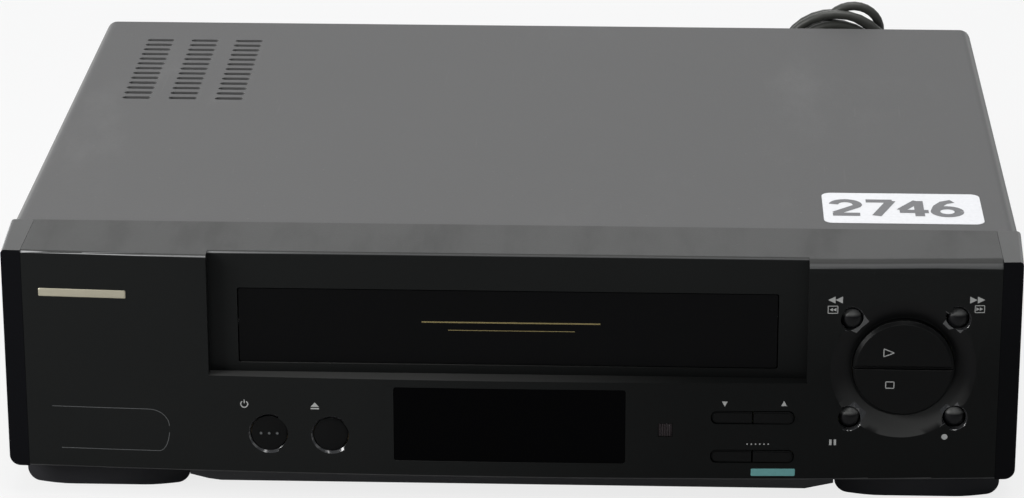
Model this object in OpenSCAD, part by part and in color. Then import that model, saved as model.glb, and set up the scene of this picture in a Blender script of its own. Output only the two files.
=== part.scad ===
// A front-loading VHS video cassette recorder, made of separate pieces.
// X runs to the right, Y to the back and Z up, with the floor at z = 0.

/* [Case] */
// Width of the front over both side trims, at its face
front_w = 361; // [358:0.5:361.5]
// Height of the front panel
front_h = 82.5; // [81:0.5:86]
// Height of the front panel's lower edge above the floor
foot_h = 10.5; // [9.5:0.5:13]
// Depth from the corners of the front to the outside of the rear panel
case_d = 286.5; // [285:0.5:300]
// How far the middle of the front stands before its corners
front_bow = 5.8; // [4:0.2:7]
// Width of the steel cover
cover_w = 363.4; // [362.2:0.2:364]
// Thickness of the cover's steel sheet
sheet_t = 0.8; // [0.6:0.1:1]
// Outer radius of the cover's two long bends
bend_r = 4.6; // [2.4:0.2:5]
// Height of the cover's lower edges above the floor
cover_lift = 14; // [13:0.5:16]
// Thickness of the plastic walls
wall_t = 2.4; // [2:0.2:2.8]

/* [Front panel] */
// Depth of the part of the front that wraps over the top
bezel_d = 32.6; // [28:0.2:34]
// Width of the glossy trim at each side
trim_w = 7.2; // [6:0.1:8]
// Height of the ledge under the flap above the panel's lower edge
ledge_h = 37.2; // [36.4:0.2:37.6]
// Width of the flat field round the flap
field_w = 212.6; // [210:0.2:216]
// Middle of the flat field, the flap and the tape deck across the case
field_x = -0.9; // [-1.5:0.1:0.5]
// How far the flat field lies behind the corners of the front
field_y = 1.2; // [0.8:0.1:2]
// Radius of the long edge along the top of the front
edge_r = 1.4; // [1:0.1:1.8]
// Radius of the softer edge above the round transport keys
soft_edge_r = 5; // [4:0.5:6]

/* [Vents] */
// Number of slots in each column of vents
vent_rows = 13; // [9:1:13]
// Distance from one slot to the next
vent_pitch = 6.58; // [6:0.02:6.7]
// Length of one slot
vent_l = 11.4; // [10:0.2:12.5]
// Width of one slot
vent_w = 3; // [2:0.1:3.4]
// Middle of the first column from the middle of the case
vent_x = -155.4; // [-156:0.1:-154]
// Distance from one column to the next
vent_step = 18.4; // [17:0.1:19]
// Middle of the rearmost slots before the rear panel's outside
vent_back = 27; // [25:0.5:30]

/* [Keys and windows] */
// Radius of the round pair of play and stop keys
play_r = 17.9; // [16.5:0.1:18.4]
// Middle of the round pair across the front
play_x = 139.4; // [138.8:0.1:140]
// Middle of the round pair above the panel's lower edge
play_z = 42.8; // [42:0.1:43.6]
// Outer radius of the dish round the pair
dish_r = 26; // [24.5:0.1:26.2]
// Depth of the dish
dish_d = 3; // [2:0.1:3.6]
// Radius of the four small round keys
small_key_r = 3.6; // [3:0.1:4]
// How far each small key lies beside and above the middle of the dish
small_key_off = 18.7; // [18.4:0.1:19.2]
// Radius of the standby key
standby_r = 6.4; // [5.6:0.1:7]
// Radius of the eject key
eject_r = 6.1; // [5.4:0.1:7]
// Middle of the standby key across the front
standby_x = -86; // [-90:0.5:-84]
// Middle of the eject key across the front
eject_x = -63.8; // [-66:0.5:-60]
// Middle of both keys above the panel's lower edge
lower_key_z = 15.5; // [14:0.5:18]
// Length of each pair of bar keys
bar_w = 29; // [26:0.5:32]
// Height of a bar key
bar_h = 4.4; // [4:0.1:5]
// Middle of the bar keys across the front
bar_x = 86.5; // [84:0.5:88]
// Middle of the upper bar keys above the panel's lower edge
bar_z_high = 24.1; // [22:0.1:26]
// Middle of the lower bar keys above the panel's lower edge
bar_z_low = 9.2; // [8:0.1:11]
// Width of the display window
window_w = 82.6; // [78:0.2:86]
// Height of the display window
window_h = 28.2; // [26:0.2:29]
// Middle of the display window above the panel's lower edge
window_z = 20.2; // [19.6:0.1:20.6]
// Side of the remote control's window
sensor_w = 5.2; // [4.5:0.1:7]
// Middle of the remote control's window across the front
sensor_x = 55.5; // [53:0.5:58]
// Middle of the remote control's window above the panel's lower edge
sensor_z = 19.2; // [17:0.2:22]
// Travel of every key
key_travel = 0.8; // [0.5:0.1:1]
// Clearance round every key
key_gap = 0.35; // [0.3:0.05:0.5]

/* [Flap] */
// Width of the cassette flap
flap_w = 191.2; // [190:0.2:193]
// Height of the cassette flap
flap_h = 27.6; // [27:0.1:28]
// Lower edge of the flap above the panel's lower edge
flap_z = 40.9; // [40.7:0.1:41.3]
// Thickness of the flap
flap_t = 2.2; // [1.8:0.1:2.6]
// Radius of the flap's hinge pins
pin_r = 1.4; // [1:0.1:1.6]
// Clearance round the flap
flap_gap = 0.4; // [0.35:0.05:0.6]

/* [Feet] */
// Width of a front foot
foot_w = 60; // [52:0.5:62]
// Depth of a front foot
foot_d = 34; // [28:0.5:38]
// Middle of each front foot from the middle of the case
foot_x = 146.5; // [144:0.5:147.5]
// Front edge of the feet behind the corners of the front
foot_y = 6.5; // [5.5:0.5:8]
// Radius of the curved front of a foot
foot_arc_r = 80; // [70:1:120]
// Radius of a rear foot
rear_foot_r = 13; // [10:0.5:16]

/* [Tape deck] */
// Height of the deck plate's top above the floor
deck_z = 28.2; // [28:0.1:28.6]
// Thickness of the deck plate
deck_t = 1.2; // [1:0.1:1.4]
// Width of the deck plate
deck_w = 212; // [210:1:216]
// Front edge of the deck plate behind the corners of the front
deck_y = 30; // [26:1:32]
// Rear edge of the deck plate behind the corners of the front
deck_back = 236; // [232:1:242]
// Distance from the middle to each reel
reel_x = 46.2; // [46:0.1:46.6]
// Reels behind the corners of the front
reel_y = 91; // [90:0.5:92]
// Radius of a reel table
reel_r = 20; // [18:0.5:20.5]
// Radius of the head drum
drum_r = 31; // [30:0.1:31]
// Middle of the head drum behind the corners of the front
drum_y = 188; // [187.5:0.5:189]
// Tilt of the head drum
drum_tilt = 5.9; // [5:0.1:6]
// Length of each loading arm
arm_l = 36.8; // [36.2:0.2:37]
// Radius of the capstan
capstan_r = 1.5; // [1.3:0.1:2]
// Capstan right of the middle
capstan_x = 64; // [63:0.5:65]
// Capstan behind the corners of the front
capstan_y = 152; // [151:0.5:153]
// Radius of the pinch roller
pinch_r = 6.5; // [6:0.1:6.8]
// Clearance of a shaft in its bearing, all round
shaft_fit = 0.05; // [0.02:0.01:0.1]

/* [Cassette carriage] */
// Inner width of the cassette holder
holder_w = 189.2; // [188.8:0.2:189.8]
// Inner height of the cassette holder
holder_h = 26; // [25.8:0.1:26.2]
// Length of the cassette holder
holder_l = 50; // [46:1:51]
// Front of the holder behind the corners of the front
holder_y = 39; // [38.5:0.5:40]
// Bottom of the holder above the floor
holder_z = 51.4; // [51:0.1:51.6]
// How far the carriage carries the cassette in
carry_in = 55; // [50:1:55]
// How far the holder lowers the cassette
carry_down = 19.5; // [18:0.5:19.5]
// Module of the gear teeth
tooth_m = 1; // [0.95:0.01:1.02]

/* [Rear] */
// Thickness of the rear panel
rear_t = 1; // [0.8:0.1:1.4]
// Outer radius of the aerial sockets
aerial_r = 6.2; // [5.8:0.1:6.6]
// Bore radius of the aerial input
aerial_bore_r = 4.8; // [4.76:0.01:4.9]
// Outer radius of the aerial output's sleeve
aerial_pin_r = 4.75; // [4.7:0.01:4.76]
// How far the aerial sockets stand behind the rear panel
aerial_out = 9; // [8:0.2:10]

/* [Mains lead] */
// Diameter of the mains lead
lead_d = 3.8; // [3.6:0.1:3.9]

/* [Hidden] */

// Places and sizes worked out from the values above
// Length of the lead's sleeve behind the case
relief_l = 24;
front_y = -(case_d + relief_l - front_bow) / 2;
// How far the middle of the display window's flange lies below the window's, under the ledge
flange_drop = 1.1;
half_w = front_w / 2;
bow_r = (half_w * half_w + front_bow * front_bow) / (2 * front_bow);
bow_fn = 1440;
bow_turn = 8;
z0 = foot_h;
z1 = foot_h + front_h;
body_w = front_w - 2 * trim_w;
trim_gap = 0.1;
gap = 0.3;
field_l = field_x - field_w / 2;
field_r = field_x + field_w / 2;
ledge_z = z0 + ledge_h;
field_back = field_y + 8;
lip_d = front_bow;
cover_top = z1 - 0.4;
cover_y = bezel_d + gap;
chassis_w = cover_w - 2 * sheet_t - 1.4;
// The trims grow wider towards the cover, and end this far proud of it
trim_proud = 0.3;
trim_flare = ((cover_w - front_w) / 2 + trim_proud) / bezel_d;
chassis_t = 2;
chassis_wall_h = 15.6;
floor_z = z0 + chassis_t;
rear_y = case_d - rear_t;
board_z = floor_z + 5.5;
board_t = 1.6;
board_back = rear_y - 3;
dish_z = z0 + play_z - 0.2;
deck_low = deck_z - deck_t;
post_r = 4.5;
posts = [[-96, 40], [96, 40], [-96, 150], [98, 166], [-20, 231], [60, 231]];
arm_x = 8 * tooth_m + 0.1;
arm_y = drum_y - 16;
arm_gear_z = deck_z + 0.6;
arm_gear_h = 2.6;
arm_z = arm_gear_z + arm_gear_h;
arm_t = 1.8;
arm_rest = -67.6;
cam_teeth = 40;
arm_teeth = 16;
mesh_gap = 0.12;
cam_a = 150;
cam_reach = tooth_m * (cam_teeth + arm_teeth) / 2 + mesh_gap;
cam_x = -arm_x + cam_reach * cos(cam_a);
cam_y = arm_y + cam_reach * sin(cam_a);
worm_r = 3.6;
worm_x = cam_x - tooth_m * (cam_teeth / 2 + 1) - worm_r - gap;
worm_z = arm_gear_z + arm_gear_h / 2;
motor_y = 204;
motor_r = 10;
motor_l = 26;
flywheel_r = 22;
flywheel_z = board_z + board_t + 1;
flywheel_h = 3;
pulley_r = 8;
pulley_z = flywheel_z + flywheel_h;
pulley_h = deck_low - gap - pulley_z;
clutch_x = 0;
clutch_y = reel_y + 21;
bearing_r = 4.5;
idler_l = 17;
idler_r = 10.5;
reel_z = deck_z + 0.8;
reel_t = 2.4;
pinch_x = 86;
pinch_y = 152;
pinch_a = 234;
pinch_l = 23.7;
pinch_z = deck_z + 6;
frame_x = 103;
frame_t = 1.2;
slider_x = 97.4;
slider_t = 1.2;
rack_w = 3;
rack_z = holder_z + 10.6;
rack_h = 3;
rack_l = 62;
rack_y = 30;
pinion_teeth = 16;
pinion_y = rack_y + rack_l - 4;
pinion_z = rack_z - tooth_m * pinion_teeth / 2 - mesh_gap;
holder_t = 0.8;
socket_w = 52;
socket_h = 15;
socket_x = [-72, -12];
socket_z = 34;
aerial_x = 44;
aerial_z = [34, 58];
tuner_w = 34;
tuner_d = 46;
relief_x = 74;
relief_z = 26;

screw_r = 1.9;
screw_head_r = 3.6;
screw_head_h = 1.2;
side_screw_y = [60, 240];
side_screw_z = cover_lift + 7;
rear_screw_x = [-160, 20, 160];
rear_screw_z = cover_top - 12;
hinge_y = field_y + flap_t / 2 + 1.2;
hinge_z = z0 + flap_z + flap_h - 2.2;
key_board_y = 10.4;
key_board_t = 1.6;
key_places = [
  [standby_x, z0 + lower_key_z], [eject_x, z0 + lower_key_z],
  [play_x - small_key_off, dish_z + small_key_off],
  [play_x + small_key_off, dish_z + small_key_off],
  [play_x - small_key_off, dish_z - small_key_off],
  [play_x + small_key_off, dish_z - small_key_off],
  [play_x, dish_z + play_r * 0.5], [play_x, dish_z - play_r * 0.5],
  [bar_x - bar_w / 4, z0 + bar_z_high], [bar_x + bar_w / 4, z0 + bar_z_high],
  [bar_x - bar_w / 4, z0 + bar_z_low], [bar_x + bar_w / 4, z0 + bar_z_low]
];
stem_end = key_board_y - 3.9 - gap - key_travel;
tension_x = -84;
tension_y = 150;
tension_tip = [-60, 134];
impedance_x = -54;
impedance_y = 154;
drum_z = 46.6;
drum_low_h = 9;
drum_up_h = 11;
drum_shaft_r = 2.5;
pinch_tip = [pinch_x + pinch_l * cos(pinch_a), pinch_y + pinch_l * sin(pinch_a)];
frame_top = deck_z + 60;
slide_y = holder_y + holder_l / 2;
slot_z = holder_z + 12.6;
flange_z = holder_z + 32.4;
power_x = [-168, -110];
power_y = [62, 278];
board_posts = [[156, 28], [156, 272], [-98, 274], [40, 24]];
power_posts = [[-160, 70], [-118, 70], [-160, 270], [-118, 250]];
hank_side = 0.1;
hank_shift = 8;

// The lead's route from the strain relief to the hank, and from the hank to the plug
lead_from = [
  [74, 310.5, 26], [74, 314.5, 26], [73, 320.2, 25.5], [72, 326, 24.4], [72.9, 331.7, 22.7],
  [75.7, 336.8, 20.7], [80.1, 340.7, 18.3], [85.6, 342.8, 15.8], [91.4, 342.9, 13.1],
  [97, 341.1, 10.6], [101.6, 337.5, 8.1], [104.7, 332.6, 6], [107.1, 327.3, 4.2], [111, 323, 2.9],
  [116.2, 320.3, 2.2], [122, 319.5, 2.1], [125.9, 319.5, 2.1]
];
lead_to = [
  [126.1, 328.6, 4.5], [130, 328.6, 4.5], [135.2, 328.9, 4.6], [140.2, 330.4, 4.6],
  [144.5, 333.3, 4.7], [147.9, 337.2, 4.8], [150.1, 342, 4.9], [151, 347.1, 5.1],
  [150.4, 352.3, 5.2], [148.5, 357.1, 5.3], [145.3, 361.2, 5.4], [141.1, 364.3, 5.5],
  [136.2, 366.1, 5.5], [131, 366.6, 5.6], [127, 366.6, 5.6]
];
hank_x = 126;
hank_y = 320;
hank_layer = 4.8;
hank_pitch = 4.8;
hank_wide = 25;
hank_low = 28.3;
hank_high = 71.2;
hank_waist = 6;
hank_from = -0.25;
hank_to = 5.75;
hank_rings = 24;
hank_sides = 6;
hank_lift = 14.6;
hank_lean = 22;

function bow_y(x) = bow_r - front_bow - sqrt(bow_r * bow_r - x * x);
function clamp(v, lo, hi) = max(lo, min(hi, v));
function ease(v) = let (c = clamp(v, 0, 1)) c * c * (3 - 2 * c);
function unit(v) = v / norm(v);

module from_front() {
  translate([0, front_y, 0]) children();
}

module on_deck() {
  translate([field_x, front_y, 0]) children();
}

// A flat outline standing across the front, with its near face at y
module face_on(y, d) {
  translate([0, y + d, 0]) rotate([90, 0, 0]) linear_extrude(d) children();
}

// A rectangle with round corners, centred, made of squares and circles
module round_rect(w, h, r) {
  square([w - 2 * r, h], center = true);
  square([w, h - 2 * r], center = true);
  for (x = [-1, 1], y = [-1, 1])
    translate([x * (w / 2 - r), y * (h / 2 - r)]) circle(r, $fn = 32);
}

module bar(x0, x1, y0, y1, za, zb) {
  translate([x0, y0, za]) cube([x1 - x0, y1 - y0, zb - za]);
}

module rod(x, y, za, zb, r, fn = 48) {
  translate([x, y, za]) cylinder(r = r, h = zb - za, $fn = fn);
}

// A round bar along Y
module rod_y(x, z, ya, yb, r, fn = 48) {
  translate([x, ya, z]) rotate([-90, 0, 0]) cylinder(r = r, h = yb - ya, $fn = fn);
}

// A round bar along X
module rod_x(y, z, xa, xb, r, fn = 32) {
  translate([xa, y, z]) rotate([0, 90, 0]) cylinder(r = r, h = xb - xa, $fn = fn);
}

// A solid whose front follows the bow of the front, set back by inset
module bow_solid(inset, za, zb) {
  translate([0, bow_r - front_bow, za]) cylinder(r = bow_r - inset, h = zb - za, $fn = bow_fn);
}

// Sweeps an outline along the bow: x is the depth behind the face and y the height
module bow_sweep() {
  translate([0, bow_r - front_bow, 0])
    rotate([0, 0, -90 - bow_turn / 2])
      rotate_extrude(angle = bow_turn, $fn = bow_fn)
        translate([bow_r, 0]) mirror([1, 0]) children();
}

// Involute gear outline, thinned a little so that the teeth run free
function involute(a) = tan(a) - a * PI / 180;
function flank(r, rb) = r <= rb ? 0 : involute(acos(rb / r)) * 180 / PI;
module gear_outline(teeth, m) {
  r = m * teeth / 2;
  rb = r * cos(20);
  root = r - 1.2 * m;
  tip = r + 0.9 * m;
  half = 90 / teeth - 0.09 / r * 180 / PI + flank(r, rb);
  low = max(root, rb);
  polygon([
    for (i = [0 : teeth - 1], s = [-1, 1], k = [0 : 3])
      let (
        r_at = [root, low, (low + tip) / 2, tip][s < 0 ? k : 3 - k],
        a = 360 * i / teeth + s * (half - flank(r_at, rb))
      )
      r_at * [cos(a), sin(a)]
  ]);
}

// Case

module cover_profile(w, top, r, low) {
  translate([-w / 2, low]) square([w, top - low - r]);
  translate([-w / 2 + r, top - r]) square([w - 2 * r, r]);
  for (s = [-1, 1]) translate([s * (w / 2 - r), top - r]) circle(r, $fn = 64);
}

module vent_slots() {
  y_last = case_d - vent_back;
  for (c = [0 : 2], i = [0 : vent_rows - 1])
    translate([vent_x + c * vent_step, y_last - i * vent_pitch, cover_top - 2 * bend_r])
      linear_extrude(4 * bend_r) round_rect(vent_l, vent_w, vent_w * 0.45);
}

module top_cover() from_front() color("dimgray") {
  in_w = cover_w - 2 * sheet_t;
  difference() {
    face_on(cover_y, case_d - cover_y - 0.5) difference() {
      cover_profile(cover_w, cover_top, bend_r, cover_lift);
      cover_profile(in_w, cover_top - sheet_t, bend_r - sheet_t, cover_lift - 1);
    }
    vent_slots();
    for (s = [-1, 1], y = side_screw_y)
      rod_x(y, side_screw_z, s * cover_w / 2 - 3, s * cover_w / 2 + 3, screw_r + 0.2);
  }
  // Three tabs hang inside the rear panel and take its screws
  for (x = rear_screw_x) difference() {
    bar(x - 9, x + 9, rear_y - gap - sheet_t, rear_y - gap, rear_screw_z - 7, cover_top - sheet_t + 0.1);
    rod_y(x, rear_screw_z, rear_y - 5, rear_y + 5, screw_r + 0.2);
  }
}

module screw() {
  cylinder(r1 = screw_head_r, r2 = screw_head_r - 0.5, h = screw_head_h, $fn = 32);
  translate([0, 0, -5]) cylinder(r = screw_r, h = 5.2, $fn = 32);
}

module case_screws() from_front() color("darkslategray") {
  for (s = [-1, 1], y = side_screw_y)
    translate([s * cover_w / 2, y, side_screw_z]) rotate([0, s * 90, 0]) screw();
  for (x = rear_screw_x)
    translate([x, case_d, rear_screw_z]) rotate([-90, 0, 0]) screw();
  for (p = posts) translate([p[0] + field_x, p[1], deck_z]) screw();
}

// A post with a shoulder that a board rests on
module chassis_post(x, y, zb) {
  rod(x, y, floor_z - 0.5, board_z, post_r, 32);
  rod(x, y, board_z - 0.1, zb, 3.4, 32);
}

module bottom_chassis() from_front() color([0.13, 0.13, 0.14]) {
  w = chassis_w / 2;
  y_front = field_y + wall_t + 3;
  difference() {
    union() {
      difference() {
        bar(-w, w, y_front, rear_y - gap, z0 + 0.1, z0 + chassis_wall_h);
        bar(-w + chassis_t, w - chassis_t, y_front + chassis_t, rear_y - gap - chassis_t,
          floor_z, z1);
        // The front wall is low, so that the front panel's lip passes over it
        bar(-w - 1, w + 1, y_front - 1, cover_y, floor_z + 1, z1);
        // The floor is narrower between the trims
        for (s = [-1, 1]) translate([s * (half_w - wall_t - gap + trim_w), 0, 0])
          bar(-trim_w, trim_w, y_front - 1, cover_y, z0 - 1, z1);
        // The rear wall is low, and the rear panel stands behind it
        bar(-w + 6, w - 6, rear_y - 10, rear_y, floor_z + 6, z1);
      }
      for (p = posts) chassis_post(p[0] + field_x, p[1], deck_low);
      for (p = concat(board_posts, power_posts)) chassis_post(p[0], p[1], board_z + board_t + 1);
      for (s = [-1, 1], y = side_screw_y)
        bar(s > 0 ? w - 8 : -w, s > 0 ? w : -w + 8, y - 5, y + 5, floor_z - 0.5,
          side_screw_z + 4.5);
      // Lower rib along the front, between the feet
      translate([0, y_front, 0]) rotate([90, 0, 0]) translate([0, 0, -22])
        linear_extrude(22) polygon([
          [-116.2, z0 + 0.2], [-116.2, z0 - 5.3], [-109.5, z0 - 7], [-105, z0 - 7.6],
          [106, z0 - 7.6], [109.5, z0 - 6.8], [116.2, z0 - 5.3], [116.2, z0 + 0.2]
        ]);
      for (x = [-60 : 30 : 90])
        bar(x - 0.8, x + 0.8, y_front + 24, rear_y - 14, z0 - 1.2, z0 + 0.3);
    }
    for (s = [-1, 1], y = side_screw_y)
      rod_x(y, side_screw_z, s * w - 9, s * w + 9, screw_r + 0.2);
    // Cooling slots under the power supply
    for (i = [0 : 9])
      bar(-158, -118, 190 + i * 7, 193.5 + i * 7, z0 - 3, floor_z + 1);
    for (p = posts) rod(p[0] + field_x, p[1], deck_low - 8, deck_low + 1, screw_r + 0.2, 24);
  }
}

module foot_outline() {
  intersection() {
    translate([0, foot_arc_r]) circle(foot_arc_r, $fn = 200);
    translate([0, foot_d / 2]) round_rect(foot_w, foot_d + 2, 6);
  }
}

module front_feet() from_front() color([0.2, 0.2, 0.21]) {
  h = foot_h;
  for (s = [-1, 1]) translate([s * foot_x, foot_y, 0]) difference() {
    intersection() {
      linear_extrude(h) foot_outline();
      translate([0, -1, h / 2 + 4]) rotate([-90, 0, 0])
        linear_extrude(foot_d + 4) round_rect(foot_w - 0.6, h + 8, 4.5);
      translate([-foot_w, -1.2, h / 2 + 4]) rotate([90, 0, 90])
        linear_extrude(2 * foot_w) translate([foot_d / 2 + 1, 0])
          round_rect(foot_d + 2, h + 8, 3.5);
    }
    // A shallow recess under each foot
    translate([0, foot_d / 2 + 1, -1]) linear_extrude(1.6)
      round_rect(foot_w - 22, foot_d - 20, 3);
  }
}

module rear_feet() from_front() color([0.16, 0.16, 0.17]) {
  for (s = [-1, 1]) translate([s * foot_x, case_d - 34, 0]) rotate_extrude($fn = 64) {
    square([rear_foot_r - 1.5, foot_h]);
    translate([0, 1.5]) square([rear_foot_r, foot_h - 1.5]);
    translate([rear_foot_r - 1.5, 1.5]) circle(1.5, $fn = 24);
  }
}

module rear_panel() from_front() color([0.32, 0.32, 0.33]) {
  w = cover_w / 2 - sheet_t - 0.6;
  difference() {
    face_on(rear_y, rear_t) difference() {
      translate([-w, floor_z + 0.3]) square([2 * w, cover_top - sheet_t - 0.6 - floor_z]);
      for (x = socket_x) translate([x, socket_z]) square([socket_w + 0.6, socket_h + 0.6], center = true);
      for (z = aerial_z) translate([aerial_x, z]) circle(aerial_r + 0.3, $fn = 48);
      translate([relief_x, relief_z]) circle(6.3, $fn = 48);
      for (x = rear_screw_x) translate([x, rear_screw_z]) circle(screw_r + 0.2, $fn = 32);
    }
  }
}

// Front

// An outline with round corners on its near side only
module corner_rect(d, h, r_top, r_low) {
  translate([0, r_low]) square([d, h - r_low - r_top]);
  translate([r_low, 0]) square([d - r_low, r_low + 0.01]);
  translate([r_top, h - r_top - 0.01]) square([d - r_top, r_top + 0.01]);
  translate([r_low, r_low]) circle(r_low, $fn = 48);
  translate([r_top, h - r_top]) circle(r_top, $fn = 48);
}

module face_profile(r) {
  translate([0, z0]) corner_rect(bezel_d + front_bow, front_h, r, 1);
}

// The hollow behind a face, which is open at the back and below
module hollow_profile(r) {
  d = bezel_d + front_bow;
  translate([wall_t, z0 + wall_t])
    corner_rect(d, front_h - 2 * wall_t, max(r - wall_t, 0.6), 0.6);
  translate([lip_d, z0 - 1]) square([d, front_h - wall_t]);
}

// What is cut away before the flat field round the flap
module field_cut() {
  translate([field_l, 0, 0]) rotate([90, 0, 90]) linear_extrude(field_w) difference() {
    translate([-20, ledge_z]) square([20 + field_y + edge_r, z1 + 1 - ledge_z]);
    translate([field_y, ledge_z - 5]) corner_rect(20, z1 - ledge_z + 5, edge_r, 0.1);
  }
}

module panel_shell() {
  difference() {
    union() {
      intersection() {
        bow_sweep() face_profile(edge_r);
        bar(-body_w / 2, field_r, -20, bezel_d, 0, z1 + 1);
      }
      intersection() {
        bow_sweep() face_profile(soft_edge_r);
        bar(field_r - 0.01, body_w / 2, -20, bezel_d, 0, z1 + 1);
      }
    }
    field_cut();
    // The hollows at the left, at the right, below the ledge and behind the field
    intersection() {
      bow_sweep() hollow_profile(edge_r);
      bar(-half_w, field_l - wall_t, -20, 60, 0, z1);
    }
    intersection() {
      bow_sweep() hollow_profile(soft_edge_r);
      bar(field_r + wall_t, half_w, -20, 60, 0, z1);
    }
    intersection() {
      bow_sweep() hollow_profile(edge_r);
      bar(field_l - wall_t - 0.1, field_r + wall_t + 0.1, -20, 60, 0, ledge_z - wall_t);
    }
    bar(field_l, field_r, field_y + wall_t, 60, ledge_z - wall_t - 0.1, z1 - wall_t);
    bar(field_l - wall_t - 0.1, field_r + wall_t + 0.1, field_back, 60, ledge_z - wall_t - 0.1,
      z1 - wall_t - 0.2);
  }
  // A boss behind the dish
  intersection() {
    rod_y(play_x, dish_z, -20, wall_t + dish_d + 1, dish_r + 2, 96);
    bow_solid(1, 0, z1 - soft_edge_r);
  }
}

module small_key_places() {
  for (x = [-1, 1], z = [-1, 1])
    translate([play_x + x * small_key_off, 0, dish_z + z * small_key_off]) children();
}

module key_hole(x, z, r) {
  rod_y(x, z, -20, 20, r + key_gap, 64);
}

module bar_outline(grow) {
  round_rect(bar_w + 2 * grow, bar_h + 2 * grow, 1.8 + grow);
}

// Half of a bar outline, left for side = -1 and right for side = 1
module half_bar(side, grow) {
  intersection() {
    bar_outline(grow);
    translate([side > 0 ? 0.3 : -bar_w, -bar_h]) square([bar_w - 0.3, 2 * bar_h]);
  }
}

module ear(side) {
  x = field_x + side * (flap_w / 2 + flap_gap);
  x_out = x + side * 4;
  bar(min(x, x_out), max(x, x_out), field_y + wall_t - 0.1, hinge_y + 4, hinge_z - 4, hinge_z + 4);
}

module front_panel() from_front() color([0.09, 0.095, 0.095]) {
  flap_mid = z0 + flap_z + flap_h / 2;
  dish_face = bow_y(play_x);
  difference() {
    union() {
      panel_shell();
      for (s = [-1, 1]) ear(s);
    }
    for (s = [-1, 1]) translate([field_x + s * (flap_w / 2 + flap_gap), 0, 0])
      rod_x(hinge_y, hinge_z, -5, 5, pin_r + shaft_fit);
    translate([field_x, 0, flap_mid]) face_hole()
      round_rect(flap_w + 2 * flap_gap, flap_h + 2 * flap_gap, 0.8);
    translate([0, 0, z0 + window_z]) face_hole() round_rect(window_w, window_h, 1);
    translate([sensor_x, 0, z0 + sensor_z]) face_hole() square(sensor_w, center = true);
    key_hole(standby_x, z0 + lower_key_z, standby_r);
    key_hole(eject_x, z0 + lower_key_z, eject_r);
    for (x = [standby_x, eject_x]) key_rim(x, x == eject_x ? eject_r : standby_r);
    small_key_places() rod_y(0, 0, -20, 20, small_key_r + key_gap, 48);
    for (i = [2 : 5]) translate([key_places[i][0], bow_y(key_places[i][0]) - 0.1, key_places[i][1]])
      rotate([-90, 0, 0])
        cylinder(r1 = small_key_r + 1.3, r2 = small_key_r + key_gap, h = 1.6, $fn = 48);
    key_hole(play_x, dish_z, play_r);
    // The dish is square to the bowed face at its middle
    translate([play_x, dish_face, dish_z]) rotate([0, 0, asin(play_x / bow_r)]) rotate([-90, 0, 0]) {
      cylinder(r1 = dish_r + 0.15, r2 = play_r + 0.9, h = dish_d, $fn = 96);
      translate([0, 0, -3]) cylinder(r = dish_r + 0.15, h = 3.01, $fn = 96);
    }
    for (z = [bar_z_high, bar_z_low])
      translate([bar_x, 0, z0 + z]) face_hole() bar_outline(key_gap);
  }
  // Two hooks that reach under the steel cover
  for (s = [-1, 1])
    bar(s * 120 - 12, s * 120 + 12, bezel_d - 6, bezel_d + 6, cover_top - sheet_t - 3.2,
      cover_top - sheet_t - 0.6);
  for (s = [-1, 1])
    bar(s * 120 - 12, s * 120 + 12, bezel_d - 6, bezel_d - 1, cover_top - sheet_t - 3.2, z1 - 1);
}

module face_hole() {
  translate([0, 20, 0]) rotate([90, 0, 0]) linear_extrude(40) children();
}

// The polished bevel round a round key
module key_rim(x, r) {
  translate([x, bow_y(x) - 0.1, z0 + lower_key_z]) rotate([-90, 0, 0])
    cylinder(r1 = r + 1.25, r2 = r + key_gap, h = 1, $fn = 64);
}

module trim(side) {
  in = body_w / 2 + trim_gap;
  r = 3.8;
  module block(t, ra) {
    // The shear makes the outer side flare out towards the cover
    multmatrix([[1, trim_flare, 0, 0], [0, 1, 0, 0], [0, 0, 1, 0]])
      translate([0, -20, 0]) face_on(0, bezel_d + 20) {
      translate([in - 20, z0 + t + ra]) square([half_w - in + 20 - t, front_h - 2 * t - ra - 1.6]);
      translate([in - 20, z0 + t]) square([half_w - in + 20 - t - ra, ra + 1]);
      translate([half_w - t - ra, z0 + t + ra]) circle(ra, $fn = 48);
      translate([in - 20, z1 - t - 3]) square([half_w - in + 20 - t - 1.6, 3]);
      translate([half_w - t - 1.6, z1 - t - 1.6]) circle(1.6, $fn = 32);
    }
  }
  mirror([side < 0 ? 1 : 0, 0, 0]) difference() {
    intersection() {
      block(0, r);
      bow_solid(0, 0, z1 + 1);
      bar(in, half_w + trim_w, -20, bezel_d, 0, z1 + 1);
    }
    difference() {
      intersection() {
        block(wall_t, r - 1.6);
        bow_solid(wall_t, 0, z1 + 1);
      }
      // The trim keeps its foot, which rests beside the front panel's end
      bar(in - 21, in + 1.4, -20, 3 + wall_t, 0, z1);
    }
    bar(in - 1, half_w - wall_t, 4 + wall_t, bezel_d + 1, z0 - 1, z1 - wall_t);
  }
}

module trim_left() from_front() color([0.08, 0.08, 0.1]) trim(-1);

module trim_right() from_front() color([0.08, 0.08, 0.1]) trim(1);

module display_window() from_front() color([0.01, 0.01, 0.015]) {
  z = z0 + window_z;
  intersection() {
    union() {
      translate([0, 0, z]) face_hole() round_rect(window_w - 0.3, window_h - 0.3, 0.9);
      // A flange behind the front panel's wall
      difference() {
        translate([0, 0, z - flange_drop]) face_hole()
          round_rect(window_w + 5, window_h + 0.6 + 2 * flange_drop, 2);
        bow_solid_cut(wall_t + 0.05);
      }
    }
    difference() {
      bow_solid(0.15, z0, z1);
      bow_solid(wall_t + 1.4, z0 - 1, z1 + 1);
    }
  }
}

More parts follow.
